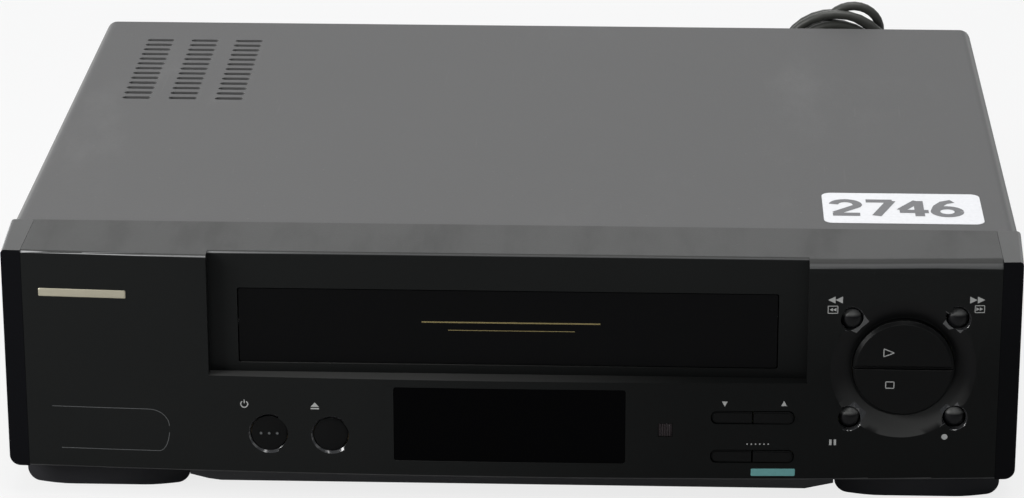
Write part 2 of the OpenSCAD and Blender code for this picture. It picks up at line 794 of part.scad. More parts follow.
// Everything in front of a surface that follows the bow at a depth
module bow_solid_cut(inset) {
  difference() {
    bar(-half_w, half_w, -20, 40, 0, z1 + 1);
    bow_solid(inset, -1, z1 + 2);
  }
}

module remote_window() from_front() color([0.1, 0.08, 0.09]) {
  z = z0 + sensor_z;
  y = bow_y(sensor_x);
  translate([sensor_x, 0, z]) {
    face_on(y + 0.3, 2.6) square(sensor_w - 0.3, center = true);
    for (i = [-2 : 2])
      translate([i * sensor_w / 6, y + 0.3, 0]) rotate([0, 0, 45])
        cube([0.42, 0.42, sensor_w - 0.5], center = true);
    translate([0, y + wall_t + 0.15, -sensor_w / 2 - 1])
      translate([-sensor_w / 2 - 1, 0, 0]) cube([sensor_w + 2, 1.4, sensor_w + 2]);
  }
}

module display_module() from_front() color([0.15, 0.2, 0.18]) {
  z = z0 + window_z;
  y = wall_t + 1.9;
  // The glass tube of the fluorescent display, on its own small frame
  translate([0, 0, z]) {
    face_on(y - 2.4, 4.4) round_rect(68, 20, 1);
    face_on(y + 2, key_board_y - y - 2) difference() {
      square([74, 24], center = true);
      square([60, 15], center = true);
    }
  }
}

module key_board() from_front() color([0.35, 0.28, 0.12]) {
  z = z0 + 2.2;
  face_on(key_board_y, key_board_t)
    translate([-110, z + 2]) square([224, ledge_z - z - 6]);
  // The part behind the round transport keys stands higher
  face_on(key_board_y, key_board_t)
    translate([108, z + 2]) square([58, dish_z + small_key_off + 8 - z - 2]);
  // Push switches behind the keys
  for (p = key_places) {
    translate([p[0], 0, p[1]]) {
      face_on(key_board_y - 3.2, 3.2) square(5.4, center = true);
      rod_y(0, 0, key_board_y - 3.9, key_board_y - 3.2, 1.6, 24);
    }
  }
}

// The stem of a key, which reaches back to its switch
module stem(p, y) {
  rod_y(p[0], p[1], y, stem_end, 1.5, 24);
}

// A round key with a slightly domed face and a collar behind the wall
module round_key(p, r, y, dome) {
  ball = (r * r + dome * dome) / (2 * dome);
  intersection() {
    rod_y(p[0], p[1], y, y + 3.2, r, 64);
    translate([p[0], y + ball, p[1]]) rotate([90, 0, 0]) sphere(ball, $fn = 160);
  }
  stem(p, y + 3);
}

module standby_button() from_front() color([0.07, 0.07, 0.075]) {
  p = key_places[0];
  y = bow_y(standby_x) + 0.35;
  round_key(p, standby_r, y, 0.35);
  for (i = [-1 : 1])
    translate([p[0] + i * 2.9, y + 0.25, p[1]]) rotate([90, 0, 0]) cylinder(r = 0.55, h = 0.45, $fn = 24);
}

module eject_button() from_front() color([0.07, 0.07, 0.075]) {
  round_key(key_places[1], eject_r, bow_y(eject_x) + 0.35, 0.35);
}

module small_key(i) {
  round_key(key_places[i], small_key_r, bow_y(key_places[i][0]) - 0.4, 1.9);
}

module rewind_button() from_front() color([0.1, 0.1, 0.1]) small_key(2);

module fast_forward_button() from_front() color([0.1, 0.1, 0.1]) small_key(3);

module pause_button() from_front() color([0.1, 0.1, 0.1]) small_key(4);

module record_button() from_front() color([0.1, 0.1, 0.1]) small_key(5);

// One half of the round pair, upper for side = 1 and lower for side = -1
module half_round_key(side) {
  y = bow_y(play_x) - 0.3;
  d = 4.6;
  difference() {
    translate([play_x, y, dish_z]) rotate([-90, 0, 0]) {
      cylinder(r1 = play_r - 1.1, r2 = play_r, h = 1.1, $fn = 96);
      translate([0, 0, 1.1]) cylinder(r = play_r, h = d - 1.1, $fn = 96);
    }
    bar(play_x - 30, play_x + 30, -20, 20, side > 0 ? dish_z - 40 : dish_z - 0.25,
      side > 0 ? dish_z + 0.25 : dish_z + 40);
    // The edge along the divide is bevelled
    translate([play_x - 30, y, dish_z]) rotate([45, 0, 0]) cube([60, 0.9, 0.9], center = false);
  }
  stem(key_places[side > 0 ? 6 : 7], y + d - 0.2);
}

module play_button() from_front() color([0.07, 0.07, 0.07]) half_round_key(1);

module stop_button() from_front() color([0.05, 0.05, 0.05]) half_round_key(-1);

// One half of a pair of bar keys
module bar_key(i, z, side) {
  y = bow_y(bar_x) + 0.2;
  translate([bar_x, 0, z0 + z]) {
    face_on(y, 3.4) half_bar(side, 0);
    face_on(y - 0.35, 0.4) half_bar(side, -0.5);
  }
  stem(key_places[i], y + 3.2);
}

module channel_down_button() from_front() color([0.08, 0.08, 0.08]) bar_key(8, bar_z_high, -1);

module channel_up_button() from_front() color([0.08, 0.08, 0.08]) bar_key(9, bar_z_high, 1);

module menu_button() from_front() color([0.08, 0.08, 0.08]) bar_key(10, bar_z_low, -1);

module set_button() from_front() color([0.08, 0.08, 0.08]) bar_key(11, bar_z_low, 1);

module cassette_flap() from_front() color([0.05, 0.05, 0.055]) {
  zf = z0 + flap_z;
  translate([field_x, 0, 0]) {
    translate([0, 0, zf + flap_h / 2]) face_on(field_y + 0.4, flap_t) round_rect(flap_w, flap_h, 0.6);
    for (s = [-1, 1]) {
      x = s * flap_w / 2;
      // A lug carries each hinge pin
      bar(s > 0 ? x - 3 : x, s > 0 ? x : x + 3, field_y + 0.4 + flap_t - 0.1, hinge_y + 1.6,
        hinge_z - 2, hinge_z + 2);
      rod_x(hinge_y, hinge_z, min(x - s, x + s * 3), max(x - s, x + s * 3), pin_r);
    }
    // Stiffening ribs on the back
    for (z = [zf + 3, zf + flap_h - 7])
      bar(-flap_w / 2 + 6, flap_w / 2 - 6, field_y + 0.4 + flap_t - 0.1,
        field_y + 0.4 + flap_t + 1, z, z + 1.2);
  }
}

// Tape deck

module bearing(x, y, za, zb) {
  rod(x, y, za, zb, bearing_r, 32);
}

module deck_plate() on_deck() color("silver") {
  difference() {
    union() {
      bar(-deck_w / 2, deck_w / 2, deck_y, deck_back, deck_low, deck_z);
      bearing(capstan_x, capstan_y, deck_z - 0.1, deck_z + 7);
      bearing(clutch_x, clutch_y, deck_low, deck_z + 0.3);
      // A block holds the far end of the worm's shaft
      bar(worm_x - 4, worm_x + 4, 170, 174, deck_z - 0.1, worm_z + 3);
      // A raised rim stiffens the plate along its front
      bar(-100, 100, deck_y, deck_y + 1.2, deck_z - 0.1, deck_z + 2);
    }
    bar(-deck_w, worm_x + motor_r + 4, motor_y - 0.2, deck_back + 1, deck_low - 1, deck_z + 1);
    bar(worm_x - 5, worm_x + 5, 176, motor_y - 6, deck_low - 1, deck_z + 1);
    rod(0, drum_y, deck_low - 1, deck_z + 1, 13);
    rod(capstan_x, capstan_y, deck_low - 1, deck_z + 12, capstan_r + shaft_fit);
    rod(clutch_x, clutch_y, deck_low - 1, deck_z + 2, 2 + shaft_fit);
    rod_y(worm_x, worm_z, 160, 176, 1 + shaft_fit, 32);
    for (x = [-1, 1], y = [52, 112])
      rod(x * 40, y - 20, deck_low - 1, deck_z + 1, 8, 40);
    for (p = posts) rod(p[0], p[1], deck_low - 1, deck_z + 1, screw_r + 0.2, 24);
  }
  for (s = [-1, 1]) {
    rod(s * reel_x, reel_y, deck_z - 0.1, deck_z + 12, 1.5, 32);
    rod(s * arm_x, arm_y, deck_z - 0.1, arm_z + arm_t, 2, 32);
  }
  rod(cam_x, cam_y, deck_z - 0.1, arm_gear_z + arm_gear_h, 2.5, 32);
  rod(pinch_x, pinch_y, deck_z - 0.1, pinch_z + 4, 2, 32);
  rod(pinch_x, pinch_y, deck_z - 0.1, pinch_z - 0.3, 3.6, 32);
  rod(tension_x, tension_y, deck_z - 0.1, pinch_z + 3, 1.5, 32);
  rod(tension_x, tension_y, deck_z - 0.1, pinch_z - 0.3, 3, 32);
  rod(impedance_x, impedance_y, deck_z - 0.1, deck_z + 22, 1.2, 32);
  rod(impedance_x, impedance_y, deck_z - 0.1, deck_z + 5.7, 3, 32);
}

module tilted() {
  translate([0, drum_y, drum_z]) rotate([0, drum_tilt, 0]) children();
}

module drum_lower() on_deck() color([0.7, 0.7, 0.72]) {
  difference() {
    union() {
      tilted() translate([0, 0, -drum_low_h]) cylinder(r = drum_r, h = drum_low_h, $fn = 96);
      bar(-17, 17, drum_y + 18, drum_y + 29, deck_z, drum_z - drum_low_h + 3);
    }
    tilted() translate([0, 0, -drum_low_h + 1]) cylinder(r = drum_shaft_r + shaft_fit, h = 20, $fn = 48);
    // The ruler edge, a fine helical step, is a plain groove here
    tilted() translate([0, 0, -6]) difference() {
      cylinder(r = drum_r + 1, h = 0.5, $fn = 96);
      cylinder(r = drum_r - 0.3, h = 0.5, $fn = 96);
    }
  }
}

module drum_upper() on_deck() color([0.85, 0.85, 0.87]) tilted() {
  difference() {
    union() {
      translate([0, 0, 0.4]) cylinder(r = drum_r, h = drum_up_h, $fn = 96);
      translate([0, 0, -7.4]) cylinder(r = drum_shaft_r, h = 10, $fn = 48);
    }
    // A dished top with the shaft's collar standing in it
    translate([0, 0, drum_up_h - 3]) difference() {
      cylinder(r = drum_r - 5, h = 5, $fn = 96);
      cylinder(r = 8, h = 5, $fn = 48);
    }
    for (a = [0 : 45 : 315]) rotate([0, 0, a]) translate([17, 0, 4])
      cylinder(r = 2.2, h = 20, $fn = 24);
    // Two windows in the rim for the video heads
    for (a = [0, 180]) rotate([0, 0, a]) translate([drum_r - 2, -2, -1]) cube([4, 4, 3.4]);
  }
  for (a = [0, 180]) rotate([0, 0, a]) translate([drum_r - 3, -1, 0.7]) cube([2.9, 2, 1.2]);
}

module erase_head() on_deck() color([0.6, 0.6, 0.6]) {
  bar(-73, -64, 148, 156, deck_z, deck_z + 3);
  bar(-72, -65, 149, 155, deck_z + 2, deck_z + 21);
}

module audio_head() on_deck() color([0.75, 0.75, 0.75]) {
  x = 58;
  y = 170;
  bar(x - 8, x + 8, y - 6, y + 7, deck_z, deck_z + 2);
  bar(x - 5, x + 5, y - 4, y + 4, deck_z + 1, deck_z + 22);
  rod(x - 5, y, deck_z + 6, deck_z + 22, 3, 32);
  for (s = [-1, 1]) rod(x + s * 6, y + 5, deck_z + 1, deck_z + 8, 1.2, 24);
}

// A loading arm: a gear, a lever and a roller guide; side 1 is the take-up arm on the right
module loading_arm(side, phase) {
  a = side > 0 ? arm_rest : 180 - arm_rest;
  translate([side * arm_x, arm_y, 0]) difference() {
    union() {
      translate([0, 0, arm_gear_z]) linear_extrude(arm_gear_h)
        rotate(phase) gear_outline(arm_teeth, tooth_m);
      rod(0, 0, arm_z - 0.1, arm_z + arm_t, 5, 40);
      rotate([0, 0, a]) {
        bar(0, arm_l, -2.6, 2.6, arm_z, arm_z + arm_t);
        rod(arm_l, 0, arm_z, arm_z + arm_t, 4.2, 40);
        rod(arm_l, 0, arm_z, deck_z + 22, 1.4, 24);
        // The roller between its two flanges
        rod(arm_l, 0, deck_z + 6, deck_z + 7, 3.2, 32);
        rod(arm_l, 0, deck_z + 6.9, deck_z + 20.1, 2.6, 32);
        rod(arm_l, 0, deck_z + 20, deck_z + 21, 3.2, 32);
      }
    }
    rod(0, 0, arm_gear_z - 1, arm_z + arm_t + 1, 2 + shaft_fit);
  }
}

module supply_arm() on_deck() color("ivory") loading_arm(-1, 180 / arm_teeth);

module takeup_arm() on_deck() color("ivory") loading_arm(1, 0);

module cam_gear() on_deck() color([0.9, 0.88, 0.8]) {
  pitch = 360 / arm_teeth;
  off = (cam_a - pitch / 2) % pitch;
  phase = cam_a + 180 + off * arm_teeth / cam_teeth - 180 / cam_teeth;
  translate([cam_x, cam_y, 0]) difference() {
    translate([0, 0, arm_gear_z]) linear_extrude(arm_gear_h - 0.4)
      rotate(phase) gear_outline(cam_teeth, tooth_m);
    rod(0, 0, 0, 60, 2.5 + shaft_fit);
    // A cam groove in the upper face
    translate([2, 0, arm_gear_z + 1.2]) difference() {
      cylinder(r = 13, h = 5, $fn = 64);
      cylinder(r = 10, h = 5, $fn = 64);
    }
  }
}

module worm_shaft() on_deck() color("silver") {
  rod_y(worm_x, worm_z, 170.5, motor_y + 3, 1, 24);
  rod_y(worm_x, worm_z, 178, 194, worm_r - 0.8, 32);
  for (i = [0 : 4]) rod_y(worm_x, worm_z, 178.6 + i * 3.14, 180 + i * 3.14, worm_r, 32);
}

module loading_motor() on_deck() color([0.65, 0.65, 0.67]) {
  difference() {
    union() {
      rod_y(worm_x, worm_z, motor_y, motor_y + motor_l, motor_r, 64);
      rod_y(worm_x, worm_z, motor_y + motor_l - 0.1, motor_y + motor_l + 1.6, 3, 32);
      bar(worm_x - 12, worm_x + 9, motor_y - 1.4, motor_y + 0.1, deck_z, worm_z + 10);
      bar(worm_x - 12, worm_x - 6, motor_y - 5, motor_y, deck_z, deck_z + 1.2);
    }
    rod_y(worm_x, worm_z, motor_y - 2, motor_y + 3.4, 1 + shaft_fit, 32);
  }
}

module capstan() on_deck() color("silver") {
  difference() {
    union() {
      rod(capstan_x, capstan_y, flywheel_z, flywheel_z + flywheel_h, flywheel_r, 96);
      rod(capstan_x, capstan_y, flywheel_z, pulley_z + pulley_h, pulley_r, 64);
    }
    for (a = [0 : 60 : 300])
      translate([capstan_x, capstan_y, 0]) rotate([0, 0, a])
        rod(15, 0, flywheel_z - 1, flywheel_z + 9, 3.5, 32);
  }
  rod(capstan_x, capstan_y, flywheel_z, deck_z + 24, capstan_r);
}

module clutch_pulley() on_deck() color([0.3, 0.3, 0.32]) {
  rod(clutch_x, clutch_y, pulley_z, pulley_z + pulley_h, pulley_r, 64);
  rod(clutch_x, clutch_y, pulley_z, reel_z + reel_t + 3, 2);
  rod(clutch_x, clutch_y, reel_z, reel_z + reel_t, 6, 48);
}

module belt_outline(r) {
  d = [capstan_x - clutch_x, capstan_y - clutch_y];
  hull() {
    circle(r, $fn = 32);
    translate(d) circle(r, $fn = 32);
  }
}

module drive_belt() on_deck() color([0.08, 0.08, 0.08]) {
  translate([clutch_x, clutch_y, pulley_z + 0.7]) linear_extrude(1.6) difference() {
    belt_outline(pulley_r + gap + 1);
    belt_outline(pulley_r + gap);
  }
}

module idler_arm() on_deck() color([0.2, 0.2, 0.22]) {
  z = reel_z + reel_t + 0.5;
  y = clutch_y - idler_l;
  difference() {
    union() {
      rod(clutch_x, clutch_y, z, z + 1.6, 4.2, 40);
      bar(clutch_x - 2.6, clutch_x + 2.6, y, clutch_y, z, z + 1.6);
      rod(clutch_x, y, reel_z, reel_z + reel_t, idler_r, 64);
      rod(clutch_x, y, reel_z, z + 1.6, 3.4, 32);
    }
    rod(clutch_x, clutch_y, 0, 60, 2 + shaft_fit);
  }
}

module reel(x) {
  translate([x, reel_y, 0]) difference() {
    union() {
      rod(0, 0, reel_z, reel_z + reel_t, reel_r, 96);
      rod(0, 0, reel_z, reel_z + reel_t + 1.6, 9, 64);
      rod(0, 0, reel_z, deck_z + 13, 4.6, 48);
      for (a = [0, 120, 240]) rotate([0, 0, a]) bar(3, 7.4, -1, 1, reel_z, deck_z + 11);
    }
    rod(0, 0, reel_z - 1, deck_z + 12.4, 1.5 + shaft_fit);
  }
}

module supply_reel() on_deck() color("whitesmoke") reel(-reel_x);

module takeup_reel() on_deck() color("whitesmoke") reel(reel_x);

module pinch_arm() on_deck() color([0.7, 0.7, 0.72]) {
  difference() {
    union() {
      rod(pinch_x, pinch_y, pinch_z, pinch_z + 3.6, 4.4, 40);
      translate([pinch_x, pinch_y, 0]) rotate([0, 0, pinch_a])
        bar(0, pinch_l, -2.5, 2.5, pinch_z + 0.2, pinch_z + 1.6);
      rod(pinch_tip[0], pinch_tip[1], pinch_z, pinch_z + 1.8, 3.8, 32);
      rod(pinch_tip[0], pinch_tip[1], pinch_z + 1, deck_z + 22.4, 1.5, 32);
    }
    rod(pinch_x, pinch_y, 0, 60, 2 + shaft_fit);
  }
}

module pinch_roller() on_deck() color([0.1, 0.1, 0.1]) {
  za = pinch_z + 2.1;
  zb = deck_z + 21.8;
  difference() {
    rod(pinch_tip[0], pinch_tip[1], za, zb, pinch_r, 64);
    rod(pinch_tip[0], pinch_tip[1], za - 1, zb + 1, 1.5 + shaft_fit);
    // Recessed ends, where the roller's metal bush shows
    for (z = [za - 1, zb - 0.8]) translate([pinch_tip[0], pinch_tip[1], z]) difference() {
      cylinder(r = 4.6, h = 1.8, $fn = 40);
      cylinder(r = 2.6, h = 1.8, $fn = 40);
    }
  }
}

module tension_arm() on_deck() color([0.75, 0.75, 0.77]) {
  d = tension_tip - [tension_x, tension_y];
  a = atan2(d[1], d[0]);
  difference() {
    union() {
      rod(tension_x, tension_y, pinch_z, pinch_z + 2.6, 3.6, 40);
      translate([tension_x, tension_y, 0]) rotate([0, 0, a])
        bar(0, norm(d), -2, 2, pinch_z, pinch_z + 1.4);
      rod(tension_tip[0], tension_tip[1], pinch_z, pinch_z + 1.4, 3, 32);
      rod(tension_tip[0], tension_tip[1], pinch_z, deck_z + 22, 1.6, 32);
    }
    rod(tension_x, tension_y, 0, 60, 1.5 + shaft_fit);
  }
}

module impedance_roller() on_deck() color("silver") {
  translate([impedance_x, impedance_y, 0]) difference() {
    union() {
      rod(0, 0, deck_z + 6, deck_z + 20, 3.4, 48);
      for (z = [6, 19.2]) rod(0, 0, deck_z + z, deck_z + z + 0.8, 4.2, 48);
    }
    rod(0, 0, deck_z, deck_z + 30, 1.2 + shaft_fit);
  }
}

// Cassette carriage

module frame_side(s) {
  x0 = s > 0 ? frame_x : -frame_x - frame_t;
  difference() {
    union() {
      bar(x0, x0 + frame_t, rack_y - 1, 150, deck_z, frame_top);
      // The rail that carries the slider
      bar(s > 0 ? slider_x + slider_t + 0.8 : -frame_x - 0.1,
        s > 0 ? frame_x + 0.1 : -slider_x - slider_t - 0.8,
        rack_y - 1, 150, flange_z - 0.3 - 1.2, flange_z - 0.3);
      // The foot on the deck plate
      bar(s > 0 ? frame_x - 5 : -frame_x - 0.1, s > 0 ? frame_x + 0.1 : -frame_x + 5,
        66, 92, deck_z, deck_z + 1.2);
    }
    translate([s * frame_x, 0, 0]) {
      translate([-5, 50, deck_z + 12]) cube([10, 30, 14]);
      translate([-5, 106, deck_z + 8]) cube([10, 34, 38]);
      translate([-5, 50, deck_z + 34]) cube([10, 48, 14]);
    }
    if (s > 0) rod_x(pinion_y, pinion_z, frame_x - 2, frame_x + 4, 1.5 + shaft_fit);
  }
}

module carriage_frame() on_deck() color([0.72, 0.73, 0.74]) {
  for (s = [-1, 1]) frame_side(s);
  // Two bridges tie the sides together above the holder
  for (y = [112, 138])
    bar(-frame_x - 0.1, frame_x + 0.1, y, y + 10, frame_top - 1.4, frame_top - 0.2);
}

module rack_outline() {
  pitch = PI * tooth_m;
  n = floor(rack_l / pitch);
  // Teeth point down; one stands over the pinion's middle gap
  difference() {
    translate([rack_y, -1]) square([rack_l, 1 + rack_h]);
    for (i = [-n : n])
      let (y = pinion_y + (i + 0.5) * pitch, w = pitch / 4 + 0.09)
        polygon([
          [y - w - 1.1 * tan(20), -1.1], [y + w + 1.1 * tan(20), -1.1],
          [y + w - 1.2 * tan(20), 1.2], [y - w + 1.2 * tan(20), 1.2]
        ]);
  }
}

module cassette_slider() on_deck() color([0.82, 0.82, 0.8]) {
  for (s = [-1, 1]) {
    x0 = s > 0 ? slider_x : -slider_x - slider_t;
    difference() {
      bar(x0, x0 + slider_t, holder_y + 2, holder_y + holder_l - 2, slot_z - carry_down - 4, flange_z + 1.2);
      bar(x0 - 1, x0 + 3, slide_y - 1.4 - gap, slide_y + 1.4 + gap,
        slot_z - carry_down - 1.4 - gap, slot_z + 1.4 + gap);
    }
    // The flange rides on the frame's rail
    bar(s > 0 ? x0 : -frame_x + 1.2, s > 0 ? frame_x - 1.2 : x0 + slider_t,
      holder_y + 2, holder_y + holder_l - 2, flange_z, flange_z + 1.2);
  }
  bar(-slider_x - 0.1, slider_x + 0.1, slide_y - 6, slide_y + 6, flange_z, flange_z + 1.2);
  translate([slider_x + slider_t - 0.1, 0, rack_z]) rotate([90, 0, 90]) linear_extrude(rack_w) rack_outline();
}

module cassette_holder() on_deck() color([0.8, 0.81, 0.82]) {
  w = holder_w / 2;
  y1 = holder_y + holder_l;
  top = holder_z + holder_t + holder_h;
  difference() {
    for (s = [-1, 1])
      bar(s > 0 ? 72 : -w - holder_t, s > 0 ? w + holder_t : -72, holder_y, y1, holder_z,
        holder_z + holder_t);
    // Notches let the holder down past the pinch roller, its arm and the tension arm
    bar(71, 85.5, pinch_tip[1] - carry_in - 9, y1 + 1, holder_z - 1, holder_z + holder_t + 1);
    bar(-81, -71, y1 - 7, y1 + 1, holder_z - 1, holder_z + holder_t + 1);
  }
  for (s = [-1, 1]) {
    bar(s > 0 ? w : -w - holder_t, s > 0 ? w + holder_t : -w, holder_y, y1, holder_z, top + holder_t);
    // Rear stops that the cassette runs against
    bar(s > 0 ? 70 : -w, s > 0 ? w : -70, y1 - holder_t, y1, top - 7, top + 0.1);
    rod_x(slide_y, slot_z, s > 0 ? w + 0.1 : -slider_x - 0.8, s > 0 ? slider_x + 0.8 : -w - 0.1, 1.4, 32);
  }
  difference() {
    bar(-w, w, holder_y, y1, top, top + holder_t);
    for (s = [-1, 1]) translate([s * 48, slide_y, top - 1]) linear_extrude(4) round_rect(56, 26, 6);
  }
}

module slider_gear() on_deck() color("ivory") {
  x0 = slider_x + slider_t + 0.4;
  // A gap of the gear faces the rack's middle tooth
  translate([x0, pinion_y, pinion_z]) rotate([90, 0, 90])
    linear_extrude(rack_w - 0.6) rotate(90 + 180 / pinion_teeth) gear_outline(pinion_teeth, tooth_m);
  rod_x(pinion_y, pinion_z, x0 + 1, frame_x - 0.3, 3, 32);
  rod_x(pinion_y, pinion_z, x0 + 1, frame_x + frame_t + 0.6, 1.5, 32);
}

// Boards and sockets

module board_hole(x, y) {
  rod(x, y, board_z - 1, board_z + board_t + 1, 3.7, 32);
}

// An electrolytic capacitor standing on a board
module can(x, y, z, r, h) {
  rod(x, y, z, z + h, r, 32);
}

module main_board() from_front() color([0.45, 0.36, 0.16]) {
  top = board_z + board_t;
  difference() {
    bar(-106, 168, 16, board_back, board_z, top);
    for (p = posts) board_hole(p[0] + field_x, p[1]);
    for (p = board_posts) board_hole(p[0], p[1]);
  }
  // Integrated circuits under the deck
  for (p = [[-60, 60], [-20, 60], [30, 60], [-70, 110], [-70, 170], [20, 200]])
    bar(p[0] - 9, p[0] + 9, p[1] - 7, p[1] + 7, top, top + 2.6);
  // Taller parts in the free strip beside the deck
  bar(116, 160, 130, 196, top, top + 16);
  for (i = [0 : 4]) can(120 + (i % 2) * 14, 40 + i * 17, top, 4 + (i % 2), 12 + i);
  for (i = [0 : 3]) can(124 + i * 10, 215, top, 3.2, 9);
  // Connectors along the rear and at the front
  bar(92, 128, 258, 266, top, top + 10);
  bar(-96, -52, 246, 254, top, top + 8);
  bar(112, 150, 20, 26, top, top + 8);
  for (i = [0 : 4]) can(-90 + i * 13, 262, top, 3, 10);
}

module power_board() from_front() color([0.5, 0.4, 0.2]) {
  top = board_z + board_t;
  difference() {
    bar(power_x[0], power_x[1], power_y[0], power_y[1], board_z, top);
    for (p = power_posts) board_hole(p[0], p[1]);
  }
  // The finned heat sink stands under the vents
  bar(-142, -138.5, 190, 262, top, top + 44);
  for (i = [0 : 8]) bar(-154, -126, 192 + i * 8, 193.6 + i * 8, top + 6, top + 44);
  can(-122, 160, top, 9, 34);
  can(-122, 182, top, 6, 24);
  can(-150, 160, top, 6.5, 22);
  bar(-160, -136, 176, 182, top, top + 14);
  // The fuse in its clips
  rod_y(-158, top + 5, 146, 166, 2.6, 24);
  for (y = [146, 162]) bar(-161, -155, y, y + 4, top, top + 5);
  bar(-124, -112, 264, 276, top, top + 12);
}

module power_transformer() from_front() color([0.4, 0.35, 0.3]) {
  x = -139;
  y = 108;
  top = board_z + board_t;
  // The laminated core and the winding on its bobbin
  bar(x - 22, x + 22, y - 19, y + 19, top + 4, top + 38);
  bar(x - 14, x + 14, y - 25, y + 25, top + 8, top + 34);
  for (s = [-1, 1]) bar(x - 18, x + 18, y + s * 22 - 3, y + s * 22 + 3, top, top + 8.1);
}

module tuner_module() from_front() color([0.72, 0.73, 0.75]) {
  za = board_z + board_t;
  y0 = rear_y - gap - tuner_d;
  x0 = aerial_x - tuner_w / 2;
  difference() {
    union() {
      bar(x0, x0 + tuner_w, y0, rear_y - gap, za + 3, za + 50);
      for (y = [y0 + 4, y0 + tuner_d - 8])
        bar(x0 + 2, x0 + tuner_w - 2, y, y + 3, za, za + 3.1);
      rod_y(aerial_x, aerial_z[0], rear_y - gap - 1, case_d + aerial_out, aerial_r, 64);
      rod_y(aerial_x, aerial_z[1], rear_y - gap - 1, case_d, aerial_r, 64);
      rod_y(aerial_x, aerial_z[1], case_d - 1, case_d + aerial_out, aerial_pin_r, 64);
    }
    rod_y(aerial_x, aerial_z[0], case_d, case_d + aerial_out + 1, aerial_bore_r, 64);
    rod_y(aerial_x, aerial_z[1], case_d + 1, case_d + aerial_out + 1, 3, 48);
    // The lid's ventilation holes
    for (i = [0 : 3])
      rod_x(y0 + 8 + i * 9, za + 40, x0 - 1, x0 + 1.5, 2, 24);
  }
  rod_y(aerial_x, aerial_z[1], case_d - 0.5, case_d + aerial_out - 1, 1.1, 24);
}

module scart_outline(w, h) {
  // One end of a scart socket is cut at a slant
  polygon([
    [-w / 2, -h / 2], [w / 2 - 5, -h / 2], [w / 2, -h / 2 + 4], [w / 2, h / 2], [-w / 2, h / 2]
  ]);
}

module scart_sockets() from_front() color([0.1, 0.1, 0.1]) {
  for (x = socket_x) translate([x, 0, socket_z]) {
    difference() {
      face_on(rear_y - 14, 17) square([socket_w, socket_h], center = true);
      face_on(rear_y - 9, 20) scart_outline(socket_w - 5, socket_h - 4);
    }
    bar(-socket_w / 2 + 3, socket_w / 2 - 3, rear_y - 13, rear_y - 4,
      board_z + board_t - socket_z, -socket_h / 2 + 0.1);
  }
}

// Mains lead

module strain_relief() from_front() color([0.1, 0.1, 0.1]) {
  translate([relief_x, 0, relief_z]) {
    rod_y(0, 0, rear_y - 3, rear_y - gap, 7.5, 48);
    rod_y(0, 0, rear_y - gap - 0.1, case_d + gap + 0.1, 6, 48);
    rod_y(0, 0, case_d + gap, case_d + 2, 7.5, 48);
    translate([0, case_d + 1.9, 0]) rotate([-90, 0, 0])
      cylinder(r1 = 5.4, r2 = lead_d / 2 + 0.9, h = relief_l - 1.9, $fn = 48);
    // Ribs that let the sleeve bend
    for (i = [0 : 3]) rod_y(0, 0, case_d + 5 + i * 4.2, case_d + 6.6 + i * 4.2, 5.3 - i * 0.35, 48);
  }
}

// The hank: one tube wound in loops, inwards in the near layer and back outwards in the far one
function hank_n(k) = k < 3 ? k : 6 - k;
function hank_level(k) = k < 3.2 ? ease((k - 2.75) / 0.25) : 1 + ease((k - 3.5) / 0.25);
function hank_rise(k) =
  k < 3 || k > 3.5 ? 0 : min(ease((k - 3) / hank_side), ease((3.5 - k) / hank_side));
function hank_point(k) =
  let (
    a = hank_wide - hank_pitch * hank_n(k),
    t = k - floor(k),
    up = hank_rise(k),
    high = hank_high + hank_lift * up,
    mid = (hank_low + hank_high) / 2,
    // v runs from -1 to 1 up a side, and beyond that the point is on a lobe
    v = t < 0.25 ? t / hank_side : t < 0.75 ? (0.5 - t) / hank_side : (t - 1) / hank_side,
    turn = 90 * (abs(v) * hank_side - hank_side) / (0.25 - hank_side),
    side = t < 0.25 || t > 0.75 ? 1 : -1,
    on_side = abs(v) <= 1,
    drawn = hank_waist * pow(cos(90 * v), 2),
    x = side * (on_side ? a - drawn : a * cos(turn)) + hank_shift * up,
    z = on_side ? (v > 0 ? mid + v * (high - mid) : mid + v * (mid - hank_low))
      : v > 0 ? high + a * sin(turn) : hank_low - a * sin(turn)
  )
  [hank_x + x, hank_y - hank_lean * z / 100 + hank_layer * hank_level(k), z];

hank_points = [
  for (i = [0 : (hank_to - hank_from) * hank_rings]) hank_point(hank_from + i / hank_rings)
];

function way(p, i) = unit(p[min(i + 1, len(p) - 1)] - p[max(i - 1, 0)]);

// Carries a direction square to the tube from ring to ring without twist
function frames(p, i, v) =
  let (d = way(p, i), s = unit(v - (v * d) * d))
  i == len(p) - 1 ? [s] : concat([s], frames(p, i + 1, s));

module tube(p, r, sides, side) {
  f = frames(p, 0, side);
  n = len(p);
  polyhedron(
    [for (i = [0 : n - 1]) let (d = way(p, i), u = f[i], w = cross(d, u)) for (k = [0 : sides - 1])
      p[i] + r * (cos(360 * k / sides) * u + sin(360 * k / sides) * w)],
    concat(
      [[for (k = [0 : sides - 1]) k]],
      [for (i = [0 : n - 2], k = [0 : sides - 1])
        [i * sides + k, (i + 1) * sides + k, (i + 1) * sides + (k + 1) % sides, i * sides + (k + 1) % sides]],
      [[for (k = [sides - 1 : -1 : 0]) (n - 1) * sides + k]]
    )
  );
}

